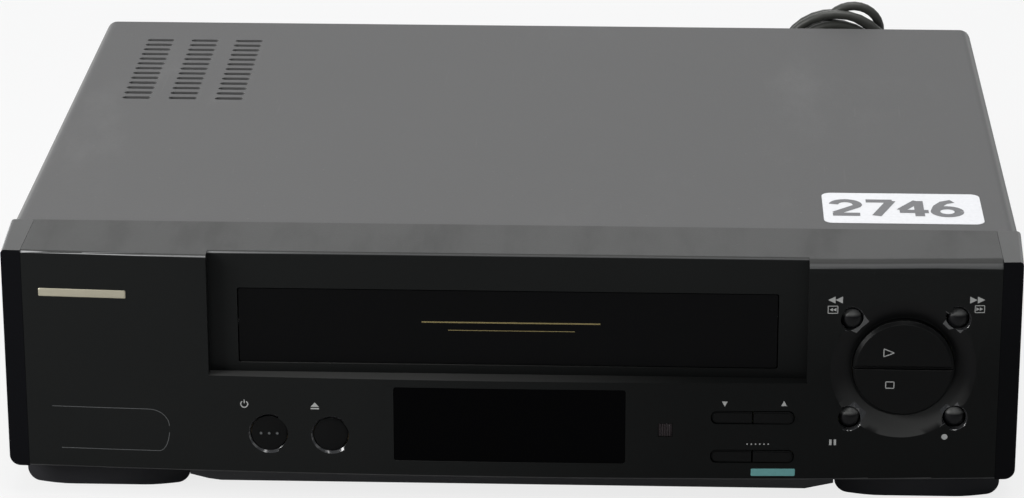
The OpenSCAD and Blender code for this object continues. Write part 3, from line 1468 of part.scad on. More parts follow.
function path_length(p, i = 0) = i >= len(p) - 1 ? 0 : norm(p[i + 1] - p[i]) + path_length(p, i + 1);
function to_segment(q, a, b) =
  let (t = clamp((q - a) * (b - a) / ((b - a) * (b - a)), 0, 1)) norm(q - a - t * (b - a));
hank_self_gap = min([
  for (i = [0 : len(hank_points) - 1], j = [i + 8 : 1 : len(hank_points) - 2])
    to_segment(hank_points[i], hank_points[j], hank_points[j + 1])
]) - lead_d;
echo(least_hank_gap = hank_self_gap);
echo(hank_length = path_length(hank_points));
echo(lead_length = path_length(lead_from) + path_length(lead_to));

module mains_lead() from_front() color([0.07, 0.07, 0.07]) {
  tube(lead_from, lead_d / 2, 8, [0, 0, 1]);
  tube(lead_to, lead_d / 2, 8, [0, 0, 1]);
}

module lead_hank() from_front() color([0.08, 0.08, 0.08]) {
  tube(hank_points, lead_d / 2, hank_sides, [0, 0, 1]);
}

module lead_tie() from_front() color([0.2, 0.2, 0.2]) {
  z = (hank_low + hank_high) / 2;
  w = hank_wide - hank_waist + lead_d / 2 + 0.5;
  y0 = hank_y - hank_lean * z / 100 - lead_d / 2 - 1.2;
  y1 = y0 + 2 * hank_layer + lead_d + 2.4;
  difference() {
    bar(hank_x - w - 0.8, hank_x + w + 0.8, y0 - 0.8, y1 + 0.8, z - 3, z + 3);
    bar(hank_x - w, hank_x + w, y0, y1, z - 4, z + 4);
  }
  // The twisted ends of the wire tie
  bar(hank_x - 4, hank_x + 4, y1 + 0.7, y1 + 3, z - 1.4, z + 1.4);
}

module mains_plug() from_front() color([0.08, 0.08, 0.08]) {
  e = lead_to[len(lead_to) - 1];
  translate([e[0], e[1], e[2]]) {
    // The flat two-pin plug: a grip that widens to the flat face
    rod_x(0, 0, -9, 0, lead_d / 2 + 1, 32);
    intersection() {
      linear_extrude(13.6, center = true) translate([-21, 0])
        polygon([
          [13, -4], [13, 4], [4, 6.4], [-6, 7], [-14, 12],
          [-18, 17], [-18, -17], [-14, -12], [-6, -7], [4, -6.4]
        ]);
      rod_x(0, 0, -60, 0, 18, 48);
      translate([-60, -20, -5.4]) cube([60, 40, 10.8]);
    }
    // Each pin has an insulated root and a bare round end
    for (s = [-1, 1]) {
      rod_x(s * 9.3, 0, -50, -38, 1.9, 24);
      translate([-58, s * 9.3, 0]) rotate([0, 90, 0]) cylinder(r1 = 1.4, r2 = 2, h = 2, $fn = 24);
      rod_x(s * 9.3, 0, -56, -49.9, 2, 24);
    }
  }
}

top_cover();
bottom_chassis();
rear_panel();
front_panel();
trim_left();
trim_right();
front_feet();
rear_feet();
case_screws();
display_window();
remote_window();
display_module();
key_board();
cassette_flap();
standby_button();
eject_button();
rewind_button();
fast_forward_button();
pause_button();
record_button();
play_button();
stop_button();
channel_down_button();
channel_up_button();
menu_button();
set_button();
deck_plate();
drum_lower();
drum_upper();
erase_head();
audio_head();
supply_arm();
takeup_arm();
cam_gear();
worm_shaft();
loading_motor();
capstan();
clutch_pulley();
drive_belt();
idler_arm();
supply_reel();
takeup_reel();
pinch_arm();
pinch_roller();
tension_arm();
impedance_roller();
carriage_frame();
cassette_slider();
cassette_holder();
slider_gear();
main_board();
power_board();
power_transformer();
tuner_module();
scart_sockets();
strain_relief();
mains_lead();
lead_hank();
lead_tie();
mains_plug();
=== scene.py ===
import math

import bpy
from mathutils import Matrix, Vector
from mathutils.bvhtree import BVHTree


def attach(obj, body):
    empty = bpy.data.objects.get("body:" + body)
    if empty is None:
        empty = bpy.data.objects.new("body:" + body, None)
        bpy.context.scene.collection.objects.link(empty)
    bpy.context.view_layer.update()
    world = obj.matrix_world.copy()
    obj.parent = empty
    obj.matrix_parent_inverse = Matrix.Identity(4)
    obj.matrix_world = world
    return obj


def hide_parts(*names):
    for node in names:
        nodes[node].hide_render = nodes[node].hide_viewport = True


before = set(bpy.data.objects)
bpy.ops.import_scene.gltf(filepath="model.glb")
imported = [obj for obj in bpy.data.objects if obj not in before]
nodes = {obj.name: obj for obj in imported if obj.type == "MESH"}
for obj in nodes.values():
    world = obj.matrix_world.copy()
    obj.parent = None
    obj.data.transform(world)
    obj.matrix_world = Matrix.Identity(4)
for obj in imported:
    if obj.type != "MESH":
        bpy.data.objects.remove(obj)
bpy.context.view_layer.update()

MM = 0.001

# Places that part.scad gives, in millimetres
FRONT_Y = -152.35
PANEL_Z = 10.5
CASE_D = 286.5
COVER_TOP = 92.6
KEY_PLAY = (139.4, 42.6)
# Inner and outer radius of the dish round the play and stop keys
DISH_R = (18.2, 26.2)
# Middle and radius of each round key that has a polished bevel round it
ROUND_KEYS = ((-86, 15.5, 6.4), (-63.8, 15.5, 6.1), (120.7, 61.3, 3.6), (158.1, 61.3, 3.6),
              (120.7, 23.9, 3.6), (158.1, 23.9, 3.6))


def spot(x, y, z):
    """A point of part.scad's own measure, in metres in the shared frame."""
    return Vector((x, y + FRONT_Y, z)) * MM


# The camera of the photograph: place in millimetres, angles in degrees
CAMERA_PLACE = Vector((52.42, -1445.43, 561.21)) * MM
CAMERA_YAW = -2.2853
CAMERA_PITCH = 19.7887
CAMERA_ROLL = -0.0707
CAMERA_LENS = 137.4285


def add_camera():
    yaw, pitch, roll = (math.radians(a) for a in (CAMERA_YAW, CAMERA_PITCH, CAMERA_ROLL))
    ahead = Vector((math.sin(yaw) * math.cos(pitch), math.cos(yaw) * math.cos(pitch), -math.sin(pitch)))
    level = Vector((math.cos(yaw), -math.sin(yaw), 0))
    upright = level.cross(ahead)
    right = math.cos(roll) * level + math.sin(roll) * upright
    up = -math.sin(roll) * level + math.cos(roll) * upright
    data = bpy.data.cameras.new("camera")
    data.lens = CAMERA_LENS
    data.sensor_width = 36
    data.clip_start = 0.05
    camera = bpy.data.objects.new("camera", data)
    turn = Matrix((right, up, -ahead)).transposed().to_4x4()
    camera.matrix_world = Matrix.Translation(CAMERA_PLACE) @ turn
    bpy.context.scene.collection.objects.link(camera)
    bpy.context.scene.camera = camera


add_camera()


# Shader maths

class Value:
    """A shader socket that sums and products can be written with."""

    def __init__(self, paint, socket):
        self.paint = paint
        self.socket = socket

    def maths(self, operation, *terms):
        return self.paint.node("ShaderNodeMath", {"operation": operation}, dict(enumerate(terms)))

    def __add__(self, other):
        return self.maths("ADD", self, other)

    def __radd__(self, other):
        return self.maths("ADD", other, self)

    def __sub__(self, other):
        return self.maths("SUBTRACT", self, other)

    def __rsub__(self, other):
        return self.maths("SUBTRACT", other, self)

    def __mul__(self, other):
        return self.maths("MULTIPLY", self, other)

    def __rmul__(self, other):
        return self.maths("MULTIPLY", other, self)

    def step(self, low, high):
        """0 below low, 1 above high, and smooth between."""
        return self.paint.node(
            "ShaderNodeMapRange", {"interpolation_type": "SMOOTHSTEP", "clamp": True},
            {0: self, 1: low, 2: high, 3: 0.0, 4: 1.0},
        )


class Paint:
    """A material whose colour, roughness and bump are worked out by nodes."""

    def __init__(self, name, **shader):
        self.material = bpy.data.materials.new(name)
        self.material.use_nodes = True
        self.tree = self.material.node_tree
        self.tree.nodes.clear()
        self.shader = self.tree.nodes.new("ShaderNodeBsdfPrincipled")
        output = self.tree.nodes.new("ShaderNodeOutputMaterial")
        self.tree.links.new(self.shader.outputs[0], output.inputs[0])
        self.place = self.node("ShaderNodeTexCoord", {}, {}, "Object")
        for socket, value in shader.items():
            self.shader.inputs[socket.replace("_", " ")].default_value = value

    def node(self, kind, settings, values, output=0):
        """Adds a node: its settings come first, then the values or links of its sockets."""
        made = self.tree.nodes.new(kind)
        for key, value in settings.items():
            setattr(made, key, value)
        for key, value in values.items():
            if isinstance(value, Value):
                self.tree.links.new(value.socket, made.inputs[key])
            else:
                made.inputs[key].default_value = value
        return Value(self, made.outputs[output])

    def stretch(self, x, y, z):
        return self.node("ShaderNodeMapping", {}, {"Vector": self.place, "Scale": (x, y, z)})

    def noise(self, scale, detail=2.0, rough=0.5, place=None):
        return self.node(
            "ShaderNodeTexNoise", {},
            {"Vector": place or self.place, "Scale": scale, "Detail": detail, "Roughness": rough},
        )

    def cells(self, scale):
        return self.node(
            "ShaderNodeTexVoronoi", {}, {"Vector": self.place, "Scale": scale}, "Distance"
        )

    def axis(self, letter):
        """The place along X, Y or Z in the object's own frame, in metres."""
        return self.node("ShaderNodeSeparateXYZ", {}, {0: self.place}, letter)

    def facing(self, letter):
        """How far the surface faces along X, Y or Z in the object's own frame."""
        normal = self.node("ShaderNodeTexCoord", {}, {}, "Normal")
        return self.node("ShaderNodeSeparateXYZ", {}, {0: normal}, letter)

    def top_edge_highlight(self):
        """A painted highlight: a line along the front's upper edge, clearest at its left end."""
        up = self.facing("Z")
        line = up.step(0.4, 0.56) * (1 - up.step(0.72, 0.86)) * self.axis("Z").step(0.089, 0.0905)
        return line * (1 - self.axis("X").step(-0.17, -0.06) * 0.82)

    def painted_shade_low_right(self):
        """Painted shade: the lower right part of the front, painted the blackest."""
        return self.axis("X").step(-0.06, 0.08) * (1 - self.axis("Z").step(0.045, 0.088))

    def low_edge_highlight(self):
        """A painted highlight: a line along the front's lower edge."""
        down = 1 - self.facing("Z").step(-0.5, -0.2)
        return down * (1 - self.axis("Z").step(0.0116, 0.0124))

    def mix(self, first, second, factor):
        values = {0: factor}
        for key, shade in ((6, first), (7, second)):
            values[key] = shade if isinstance(shade, Value) else (*shade, 1)
        return self.node("ShaderNodeMix", {"data_type": "RGBA"}, values, 2)

    def bump(self, height, depth):
        """Height from 0 to 1, and the depth in metres that it stands for."""
        return self.node("ShaderNodeBump", {}, {"Height": height, "Distance": depth, "Strength": 1.0})

    def wear(self, **sockets):
        """Links what varies to the shader's own sockets."""
        for name, value in sockets.items():
            socket = self.shader.inputs[name.replace("_", " ")]
            if isinstance(value, Value):
                self.tree.links.new(value.socket, socket)
            else:
                socket.default_value = value
        return self.material


def shades(colour, amount):
    """The colour darkened and lightened by an amount."""
    return tuple(c * (1 - amount) for c in colour), tuple(c * (1 + amount) for c in colour)


# Grey of the highlight painted along the front's lower edge
LOW_EDGE_HIGHLIGHT_GREY = (0.05, 0.05, 0.05)


def grained_plastic(name, colour, rough, grain=0.00004, size=2600, dust=0.02, shine=0.45, painted_sheen=0.0,
                    slopes=(0.55, 0.97), top_highlight_grey=0.0):
    """Moulded plastic with spark-eroded grain and faint smears.

    grain is its depth and size its fineness; painted_sheen is the grey of a sheen painted on what
    faces up between two slopes; top_highlight_grey is the grey of a highlight painted along the front's
    upper edge, and it also brings painted shade at the lower right and a highlight painted along the
    lower edge.
    """
    paint = Paint(name, Specular_IOR_Level=shine)
    dark, light = shades(colour, 0.16)
    patches = paint.noise(9, 4, 0.6)
    smears = paint.noise(1.0, 5, 0.65, paint.stretch(60, 14, 14)).step(0.42, 0.75)
    specks = paint.cells(420).step(0.05, 0.11)
    tint = paint.mix(dark, light, patches)
    dust_and_painted_light = paint.mix(tuple(c + dust for c in colour), tint, specks * 0.8 + 0.2)
    # A sheen painted lighter on what faces upwards, where light from above and behind falls
    if painted_sheen:
        upward_sheen = paint.facing("Z").step(*slopes) * (patches * 0.5 + 0.6)
        dust_and_painted_light = paint.mix(dust_and_painted_light, (painted_sheen, painted_sheen, painted_sheen * 0.97), upward_sheen)
    # Painted light on the front and trims: shade at the lower right and highlights along the upper and
    # lower edges
    if top_highlight_grey:
        # Painted shade: the lower right is painted darker
        dust_and_painted_light = paint.mix(dust_and_painted_light, shades(colour, 0.42)[0], paint.painted_shade_low_right())
        # A painted highlight along the upper edge
        dust_and_painted_light = paint.mix(dust_and_painted_light, (top_highlight_grey, top_highlight_grey, top_highlight_grey), paint.top_edge_highlight())
        # A painted highlight along the lower edge
        dust_and_painted_light = paint.mix(dust_and_painted_light, LOW_EDGE_HIGHLIGHT_GREY, paint.low_edge_highlight())
    fine = paint.noise(size, 2, 0.6)
    coarse = paint.noise(size * 0.3, 3, 0.55)
    return paint.wear(
        Base_Color=dust_and_painted_light,
        Roughness=rough + smears * 0.09 + (patches - 0.5) * 0.06,
        Normal=paint.bump(fine * 0.7 + coarse * 0.5, grain),
    )


def polished_plastic(name, colour, rough=0.12, scratch=0.000008, shine=0.5, coat=0.3):
    """Glossy moulded plastic with hairline scratches and finger marks."""
    paint = Paint(name, Specular_IOR_Level=shine, Coat_Roughness=0.06)
    dark, light = shades(colour, 0.12)
    marks = paint.noise(34, 5, 0.7).step(0.5, 0.72)
    hairs = paint.noise(1.0, 6, 0.8, paint.stretch(30, 900, 900)).step(0.6, 0.68)
    return paint.wear(
        Base_Color=paint.mix(dark, light, paint.noise(18, 3)),
        Roughness=rough + marks * 0.12 + hairs * 0.08,
        Coat_Weight=coat,
        Normal=paint.bump(hairs + paint.noise(60, 2) * 0.4, scratch),
    )


def cover_paint():
    """The steel cover's vinyl-like paint, with a leathery fine grain and a few rubbed marks."""
    paint = Paint("cover_paint", Specular_IOR_Level=0.04)
    patches = paint.noise(5, 5, 0.6)
    rubbed = paint.noise(1.0, 6, 0.7, paint.stretch(16, 5, 5)).step(0.56, 0.78)
    specks = paint.cells(160).step(0.02, 0.05)
    scratch = paint.noise(1.0, 2, 0.4, paint.stretch(700, 26, 40)).step(0.74, 0.79)
    grain = paint.cells(1500) + paint.noise(3400, 2) * 0.7
    base = paint.mix((0.083, 0.082, 0.082), (0.098, 0.097, 0.097), patches)
    worn = paint.mix(base, (0.108, 0.107, 0.106), rubbed * 0.35 + scratch * 0.4)
    dust_and_painted_light = paint.mix((0.14, 0.14, 0.13), worn, specks)
    # The long bends get a painted highlight, paler where they turn to the side
    aside = paint.facing("X")
    bend_highlight = (aside * aside).step(0.05, 0.4) * (1 - (aside * aside).step(0.8, 0.98))
    dust_and_painted_light = paint.mix(dust_and_painted_light, (0.19, 0.19, 0.186), bend_highlight * 0.75)
    return paint.wear(
        Base_Color=dust_and_painted_light,
        Roughness=0.5 + patches * 0.08 - rubbed * 0.07,
        Normal=paint.bump(grain, 0.00003),
    )


def sheet_steel(name, colour, rough=0.34, streak=(8, 300, 300)):
    """Rolled and zinc-plated sheet, streaked along its rolling direction, with spangle."""
    paint = Paint(name, Metallic=1.0)
    dark, light = shades(colour, 0.22)
    streaks = paint.noise(1.0, 4, 0.6, paint.stretch(*streak))
    spangle = paint.cells(240)
    return paint.wear(
        Base_Color=paint.mix(dark, light, streaks * 0.6 + spangle * 0.5),
        Roughness=rough + streaks * 0.14 + paint.noise(30, 3) * 0.08,
        Normal=paint.bump(streaks + spangle * 0.3, 0.00001),
    )


def turned_metal(name, colour, rough=0.16, rings=1400):
    """Metal finished on a lathe, with fine rings along its height."""
    paint = Paint(name, Metallic=1.0)
    dark, light = shades(colour, 0.1)
    ring = paint.noise(1.0, 3, 0.7, paint.stretch(20, 20, rings))
    return paint.wear(
        Base_Color=paint.mix(dark, light, ring),
        Roughness=rough + ring * 0.12 + paint.noise(90, 3) * 0.05,
        Normal=paint.bump(ring, 0.000006),
    )


def matt_rubber(name, colour, rough=0.62, grain=0.00002):
    """Black rubber with a pale bloom in patches."""
    paint = Paint(name, Specular_IOR_Level=0.35)
    dark, light = shades(colour, 0.2)
    bloom = paint.noise(45, 5, 0.65).step(0.48, 0.8)
    body = paint.mix(dark, light, paint.noise(120, 4))
    return paint.wear(
        Base_Color=paint.mix(body, (0.09, 0.09, 0.09), bloom * 0.18),
        Roughness=rough + bloom * 0.12,
        Normal=paint.bump(paint.noise(900, 4, 0.6), grain),
    )


def board_laminate():
    """A printed board: brown laminate with a pale grid of solder and dark tracks."""
    paint = Paint("board_laminate", Specular_IOR_Level=0.45)
    tracks = paint.noise(1.0, 1, 0.2, paint.stretch(260, 120, 10)).step(0.5, 0.53)
    solder = paint.cells(340).step(0.2, 0.26)
    body = paint.mix((0.2, 0.13, 0.05), (0.3, 0.2, 0.09), paint.noise(70, 4))
    tracked = paint.mix(body, (0.1, 0.16, 0.06), tracks * 0.75)
    return paint.wear(
        Base_Color=paint.mix((0.55, 0.55, 0.52), tracked, solder),
        Roughness=0.3 + solder * 0.2,
        Normal=paint.bump(tracks + (1 - solder), 0.00004),
    )


def laminations():
    """A transformer's varnished core, with the thin edges of its plates."""
    paint = Paint("laminations", Specular_IOR_Level=0.4)
    plates = paint.node(
        "ShaderNodeTexWave", {"bands_direction": "X"},
        {"Vector": paint.place, "Scale": 480, "Distortion": 0.4}, 1,
    )
    shade = plates * 0.6 + paint.noise(50, 4) * 0.5
    return paint.wear(
        Base_Color=paint.mix((0.05, 0.04, 0.035), (0.13, 0.11, 0.09), shade),
        Roughness=0.38 + plates * 0.2,
        Normal=paint.bump(plates, 0.00008),
    )


def ink(name, colour, rough=0.45):
    """Screen-printed ink, a little uneven."""
    paint = Paint(name, Specular_IOR_Level=0.3)
    dark, light = shades(colour, 0.1)
    return paint.wear(
        Base_Color=paint.mix(dark, light, paint.noise(700, 3)),
        Roughness=rough + paint.noise(300, 2) * 0.1,
        Normal=paint.bump(paint.noise(1800, 2), 0.000004),
    )


def dull_metal_foil(name, colour):
    """Brushed foil, streaked along the plate."""
    paint = Paint(name, Metallic=0.85)
    dark, light = shades(colour, 0.12)
    grainy = paint.noise(1.0, 4, 0.7, paint.stretch(40, 900, 900))
    return paint.wear(
        Base_Color=paint.mix(dark, light, grainy),
        Roughness=0.34 + grainy * 0.2,
        Normal=paint.bump(grainy, 0.000006),
    )


# Its colour holds painted light: a sheen on what faces up, highlights along the upper and lower edges,
# and shade at the lower right
FRONT = grained_plastic("front_plastic", (0.0088, 0.0093, 0.0091), 0.36, dust=0.003, shine=0.05,
                        painted_sheen=0.044, top_highlight_grey=0.34)
BEVEL = polished_plastic("polished_bevel", (0.02, 0.02, 0.021), 0.16, shine=0.6, coat=0.6)
# Its colour holds a sheen painted on the dish's upward-facing part
DISH = grained_plastic("dish_plastic", (0.0042, 0.0042, 0.0043), 0.34, 0.00001, 3000, dust=0.002,
                       shine=0.1, painted_sheen=0.04, slopes=(0.03, 0.34))
FLAP = grained_plastic("flap_plastic", (0.0022, 0.0022, 0.0024), 0.3, 0.00002, 3000, dust=0.002,
                       shine=0.05)
KEYS = grained_plastic("key_plastic", (0.0046, 0.0047, 0.0047), 0.3, 0.00002, 3200, dust=0.002,
                       shine=0.05)
# Its colour holds a highlight painted on the domes' upper part
GLOSS_KEYS = grained_plastic("key_gloss", (0.003, 0.003, 0.0034), 0.3, 0.000008, 3000, dust=0.002,
                             shine=0.14, painted_sheen=0.09, slopes=(0.22, 0.5))
# A highlight painted on the rims of some keys, lighter where they face up
KEY_EDGE_HIGHLIGHT = grained_plastic("key_edge_highlight", (0.005, 0.005, 0.0052), 0.3, 0.000008, 3000, dust=0.002,
                           shine=0.12, painted_sheen=0.12, slopes=(0.1, 0.75))
# Its colour holds painted light like the front's: a sheen on what faces up, edge highlights and shade at
# the lower right
TRIM = grained_plastic("trim_gloss", (0.0024, 0.0025, 0.0034), 0.16, 0.000006, 3000, dust=0.001,
                       shine=0.05, painted_sheen=0.044, top_highlight_grey=0.34)
WINDOW = polished_plastic("window_dark", (0.0006, 0.0006, 0.0008), 0.1, shine=0.02, coat=0.0)
SENSOR = polished_plastic("sensor_dark", (0.02, 0.016, 0.017), 0.25, shine=0.1, coat=0.0)
FEET = grained_plastic("foot_plastic", (0.016, 0.016, 0.018), 0.5, 0.00005, 1500, dust=0.006,
                       shine=0.15)
CHASSIS = grained_plastic("chassis_plastic", (0.02, 0.02, 0.022), 0.5, 0.00005, 1600)
COVER = cover_paint()
REAR = grained_plastic("rear_paint", (0.05, 0.05, 0.052), 0.46, 0.00003, 2000)
SCREWS = sheet_steel("black_screws", (0.06, 0.06, 0.062), 0.4, (400, 400, 400))
STEEL = sheet_steel("zinc_steel", (0.56, 0.56, 0.53))
TIN = sheet_steel("tin_plate", (0.62, 0.62, 0.6), 0.28, (200, 200, 12))
DRUM = turned_metal("drum_metal", (0.66, 0.66, 0.67))
SHAFT = turned_metal("ground_steel", (0.72, 0.72, 0.73), 0.1, 800)
GEARS = grained_plastic("gear_plastic", (0.72, 0.68, 0.56), 0.42, 0.00002, 900, dust=0.0)
REELS = polished_plastic("reel_plastic", (0.66, 0.66, 0.64), 0.25)
GREY = grained_plastic("grey_plastic", (0.09, 0.09, 0.1), 0.42, 0.00003, 1800)
RUBBER = matt_rubber("black_rubber", (0.02, 0.02, 0.021))
LEAD = matt_rubber("lead_rubber", (0.044, 0.045, 0.04), 0.42, 0.000008)
BOARD = board_laminate()
CORE = laminations()
GLASS = polished_plastic("display_glass", (0.03, 0.05, 0.045), 0.08)
LEGEND = ink("legend_ink", (0.33, 0.33, 0.32))
FAINT = ink("faint_ink", (0.075, 0.078, 0.078))
TEAL = ink("teal_plate", (0.105, 0.275, 0.27))
GOLD = ink("gold_ink", (0.19, 0.15, 0.06))
PLATE = dull_metal_foil("champagne_plate", (0.42, 0.39, 0.3))
PAPER = ink("label_paper", (0.62, 0.62, 0.635), 0.55)
NUMBER = ink("number_ink", (0.105, 0.105, 0.11))

DRESS = {
    COVER: ["top_cover"],
    FRONT: ["front_panel"],
    FLAP: ["cassette_flap"],
    KEYS: ["standby_button", "eject_button", "channel_down_button", "channel_up_button",
           "menu_button", "set_button", "play_button", "stop_button", "scart_sockets"],
    GLOSS_KEYS: ["rewind_button", "fast_forward_button", "pause_button", "record_button"],
    TRIM: ["trim_left", "trim_right"],
    WINDOW: ["display_window"],
    SENSOR: ["remote_window"],
    FEET: ["front_feet"],
    CHASSIS: ["bottom_chassis"],
    REAR: ["rear_panel"],
    SCREWS: ["case_screws"],
    STEEL: ["deck_plate", "pinch_arm", "tension_arm", "carriage_frame", "cassette_slider",
            "cassette_holder"],
    TIN: ["erase_head", "audio_head", "loading_motor", "tuner_module"],
    DRUM: ["drum_lower", "drum_upper"],
    SHAFT: ["worm_shaft", "capstan", "impedance_roller"],
    GEARS: ["supply_arm", "takeup_arm", "cam_gear", "slider_gear"],
    REELS: ["supply_reel", "takeup_reel"],
    GREY: ["clutch_pulley", "idler_arm"],
    RUBBER: ["rear_feet", "drive_belt", "pinch_roller", "strain_relief"],
    BOARD: ["key_board", "main_board", "power_board"],
    CORE: ["power_transformer"],
    GLASS: ["display_module"],
    LEAD: ["mains_plug"],
}

# Width of the moulded or rolled edges of the nodes, in millimetres
PLAIN_EDGE = 0.18
EDGES = {"front_panel": 0.25, "trim_left": 0.5, "trim_right": 0.5, "cassette_flap": 0.3,
         "play_button": 0.5, "stop_button": 0.4, "display_window": 0.12,
         "front_feet": 0.4, "mains_plug": 1.2, "strain_relief": 0.3}
# Points of a mesh that lie nearer than this, in millimetres, are one point
WELD_GAP = 0.002
# Edges that turn by more than this are rounded, or stay crisp on the cover
# Keys whose rims get a painted highlight, lighter where they face up
CREASE_TURN = math.radians(32)
# Keys whose rims are rubbed bright
LIT_RIMS = ("play_button", "stop_button", "standby_button", "eject_button")


def keep_flats_even(node):
    """Shades flat faces evenly right up to the roundings beside them."""
    even = node.modifiers.new("even", "WEIGHTED_NORMAL")
    even.weight = 90


def dress_nodes():
    """Gives each node its material, and modifiers that round its edges and even its shading."""
    for material, names in DRESS.items():
        for name in names:
            node = nodes[name]
            node.data.materials.clear()
            node.data.materials.append(material)
            node.data.polygons.foreach_set("use_smooth", [True] * len(node.data.polygons))
            weld = node.modifiers.new("weld", "WELD")
            weld.merge_threshold = WELD_GAP * MM
            if name == "top_cover":
                # Thin sheet, whose cut edges stay crisp
                node.modifiers.new("crease", "EDGE_SPLIT").split_angle = CREASE_TURN
                keep_flats_even(node)
                continue
            edge = node.modifiers.new("edge", "BEVEL")
            edge.width = EDGES.get(name, PLAIN_EDGE) * MM
            edge.segments = 2
            edge.limit_method = "ANGLE"
            edge.angle_limit = CREASE_TURN
            edge.harden_normals = True
            edge.use_clamp_overlap = True
            # The rims' bevels get the material with the painted highlight
            if name in LIT_RIMS:
                node.data.materials.append(KEY_EDGE_HIGHLIGHT)
                edge.material = 1
            keep_flats_even(node)


dress_nodes()


# The panel's faces that get a finish of their own: how wide a bevel is at most, how deep it lies
# behind the panel's foremost line, and how squarely each kind of face looks to the front
BEVEL_WIDE, BEVEL_DEEP = 1.5, 6
BEVEL_FACING = (-0.985, -0.2)
DISH_FACING = (-0.99, -0.5)
PLAIN, BEVELLED, DISHED = range(3)


def polish_panel():
    """Gives the bevels round the round keys and the dish a finish of their own; the dish's holds a sheen
    painted on its upward-facing part.
    """
    mesh = nodes["front_panel"].data
    mesh.materials.append(BEVEL)
    mesh.materials.append(DISH)
    for face in mesh.polygons:
        x, z = face.center.x / MM, face.center.z / MM
        if face.normal.y < BEVEL_FACING[0] or face.center.y / MM > FRONT_Y + BEVEL_DEEP:
            continue
        for kx, kz, r in ROUND_KEYS:
            away = math.hypot(x - kx, z - kz - PANEL_Z)
            if r < away < r + BEVEL_WIDE and face.normal.y < BEVEL_FACING[1]:
                face.material_index = BEVELLED
    for face in mesh.polygons:
        x, z = face.center.x / MM, face.center.z / MM
        away = math.hypot(x - KEY_PLAY[0], z - KEY_PLAY[1] - PANEL_Z)
        in_dish = DISH_R[0] < away < DISH_R[1] and DISH_FACING[0] < face.normal.y < DISH_FACING[1]
        if in_dish and face.material_index == PLAIN:
            face.material_index = DISHED


polish_panel()


def add_object(name, data, material, body):
    piece = bpy.data.objects.new(name, data)
    bpy.context.scene.collection.objects.link(piece)
    data.materials.append(material)
    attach(piece, body)
    return piece


def add_mesh(name, points, faces, material, body, smooth=False):
    mesh = bpy.data.meshes.new(name)
    mesh.from_pydata([tuple(p) for p in points], [], faces)
    mesh.update()
    if smooth:
        mesh.polygons.foreach_set("use_smooth", [True] * len(mesh.polygons))
    return add_object(name, mesh, material, body)


# Mains lead

LEAD_D = 3.8
LEAD_FROM = [
    (74, 310.5, 26), (74, 314.5, 26), (73, 320.2, 25.5), (72, 326, 24.4), (72.9, 331.7, 22.7),
    (75.7, 336.8, 20.7), (80.1, 340.7, 18.3), (85.6, 342.8, 15.8), (91.4, 342.9, 13.1),
    (97, 341.1, 10.6), (101.6, 337.5, 8.1), (104.7, 332.6, 6), (107.1, 327.3, 4.2), (111, 323, 2.9),
    (116.2, 320.3, 2.2), (122, 319.5, 2.1), (125.9, 319.5, 2.1)
]
LEAD_TO = [
    (126.1, 328.6, 4.5), (130, 328.6, 4.5), (135.2, 328.9, 4.6), (140.2, 330.4, 4.6),
    (144.5, 333.3, 4.7), (147.9, 337.2, 4.8), (150.1, 342, 4.9), (151, 347.1, 5.1),
    (150.4, 352.3, 5.2), (148.5, 357.1, 5.3), (145.3, 361.2, 5.4), (141.1, 364.3, 5.5),
    (136.2, 366.1, 5.5), (131, 366.6, 5.6), (127, 366.6, 5.6)
]
HANK_X, HANK_Y = 126, 320
HANK_LAYER = HANK_PITCH = 4.8
HANK_WIDE, HANK_LOW, HANK_HIGH = 25, 28.3, 71.2
HANK_WAIST, HANK_SIDE = 6, 0.1
HANK_LIFT, HANK_SHIFT, HANK_LEAN = 14.6, 8, 22
HANK_START, HANK_END = -0.25, 5.75
HANK_STEPS = 48
ROUTE_STEPS = 4


def ease(v):
    """0 below 0, 1 above 1, and smooth between."""
    v = min(max(v, 0), 1)
    return v * v * (3 - 2 * v)


def hank_point(k):
    """A point of the hank after k turns: three turns inwards, one raised, and back outwards."""
    wide = HANK_WIDE - HANK_PITCH * (k if k < 3 else 6 - k)
    t = k - math.floor(k)
    raised = 0 if k < 3 or k > 3.5 else min(ease((k - 3) / HANK_SIDE), ease((3.5 - k) / HANK_SIDE))
    high = HANK_HIGH + HANK_LIFT * raised
    middle = (HANK_LOW + HANK_HIGH) / 2
    v = (t if t < 0.25 else 0.5 - t if t < 0.75 else t - 1) / HANK_SIDE
    side = 1 if t < 0.25 or t > 0.75 else -1
    if abs(v) <= 1:
        x = side * (wide - HANK_WAIST * math.cos(math.pi / 2 * v) ** 2)
        z = middle + v * ((high - middle) if v > 0 else (middle - HANK_LOW))
    else:
        turn = math.pi / 2 * (abs(v) - 1) * HANK_SIDE / (0.25 - HANK_SIDE)
        x = side * wide * math.cos(turn)
        z = high + wide * math.sin(turn) if v > 0 else HANK_LOW - wide * math.sin(turn)
    layer = ease((k - 2.75) / 0.25) if k < 3.2 else 1 + ease((k - 3.5) / 0.25)
    return (HANK_X + x + HANK_SHIFT * raised, HANK_Y - HANK_LEAN * z / 100 + HANK_LAYER * layer, z)


def smooth_route(points, steps):
    """Points on a smooth curve through the route's points."""
    last = len(points) - 1
    made = []
    for i in range(last):
        a, b, c, d = (Vector(points[min(max(j, 0), last)]) for j in (i - 1, i, i + 1, i + 2))
        for k in range(steps):
            t = k / steps
            made.append(0.5 * (2 * b + (c - a) * t + (2 * a - 5 * b + 4 * c - d) * t * t
                               + (3 * b - a - 3 * c + d) * t * t * t))
    made.append(Vector(points[last]))
    return made


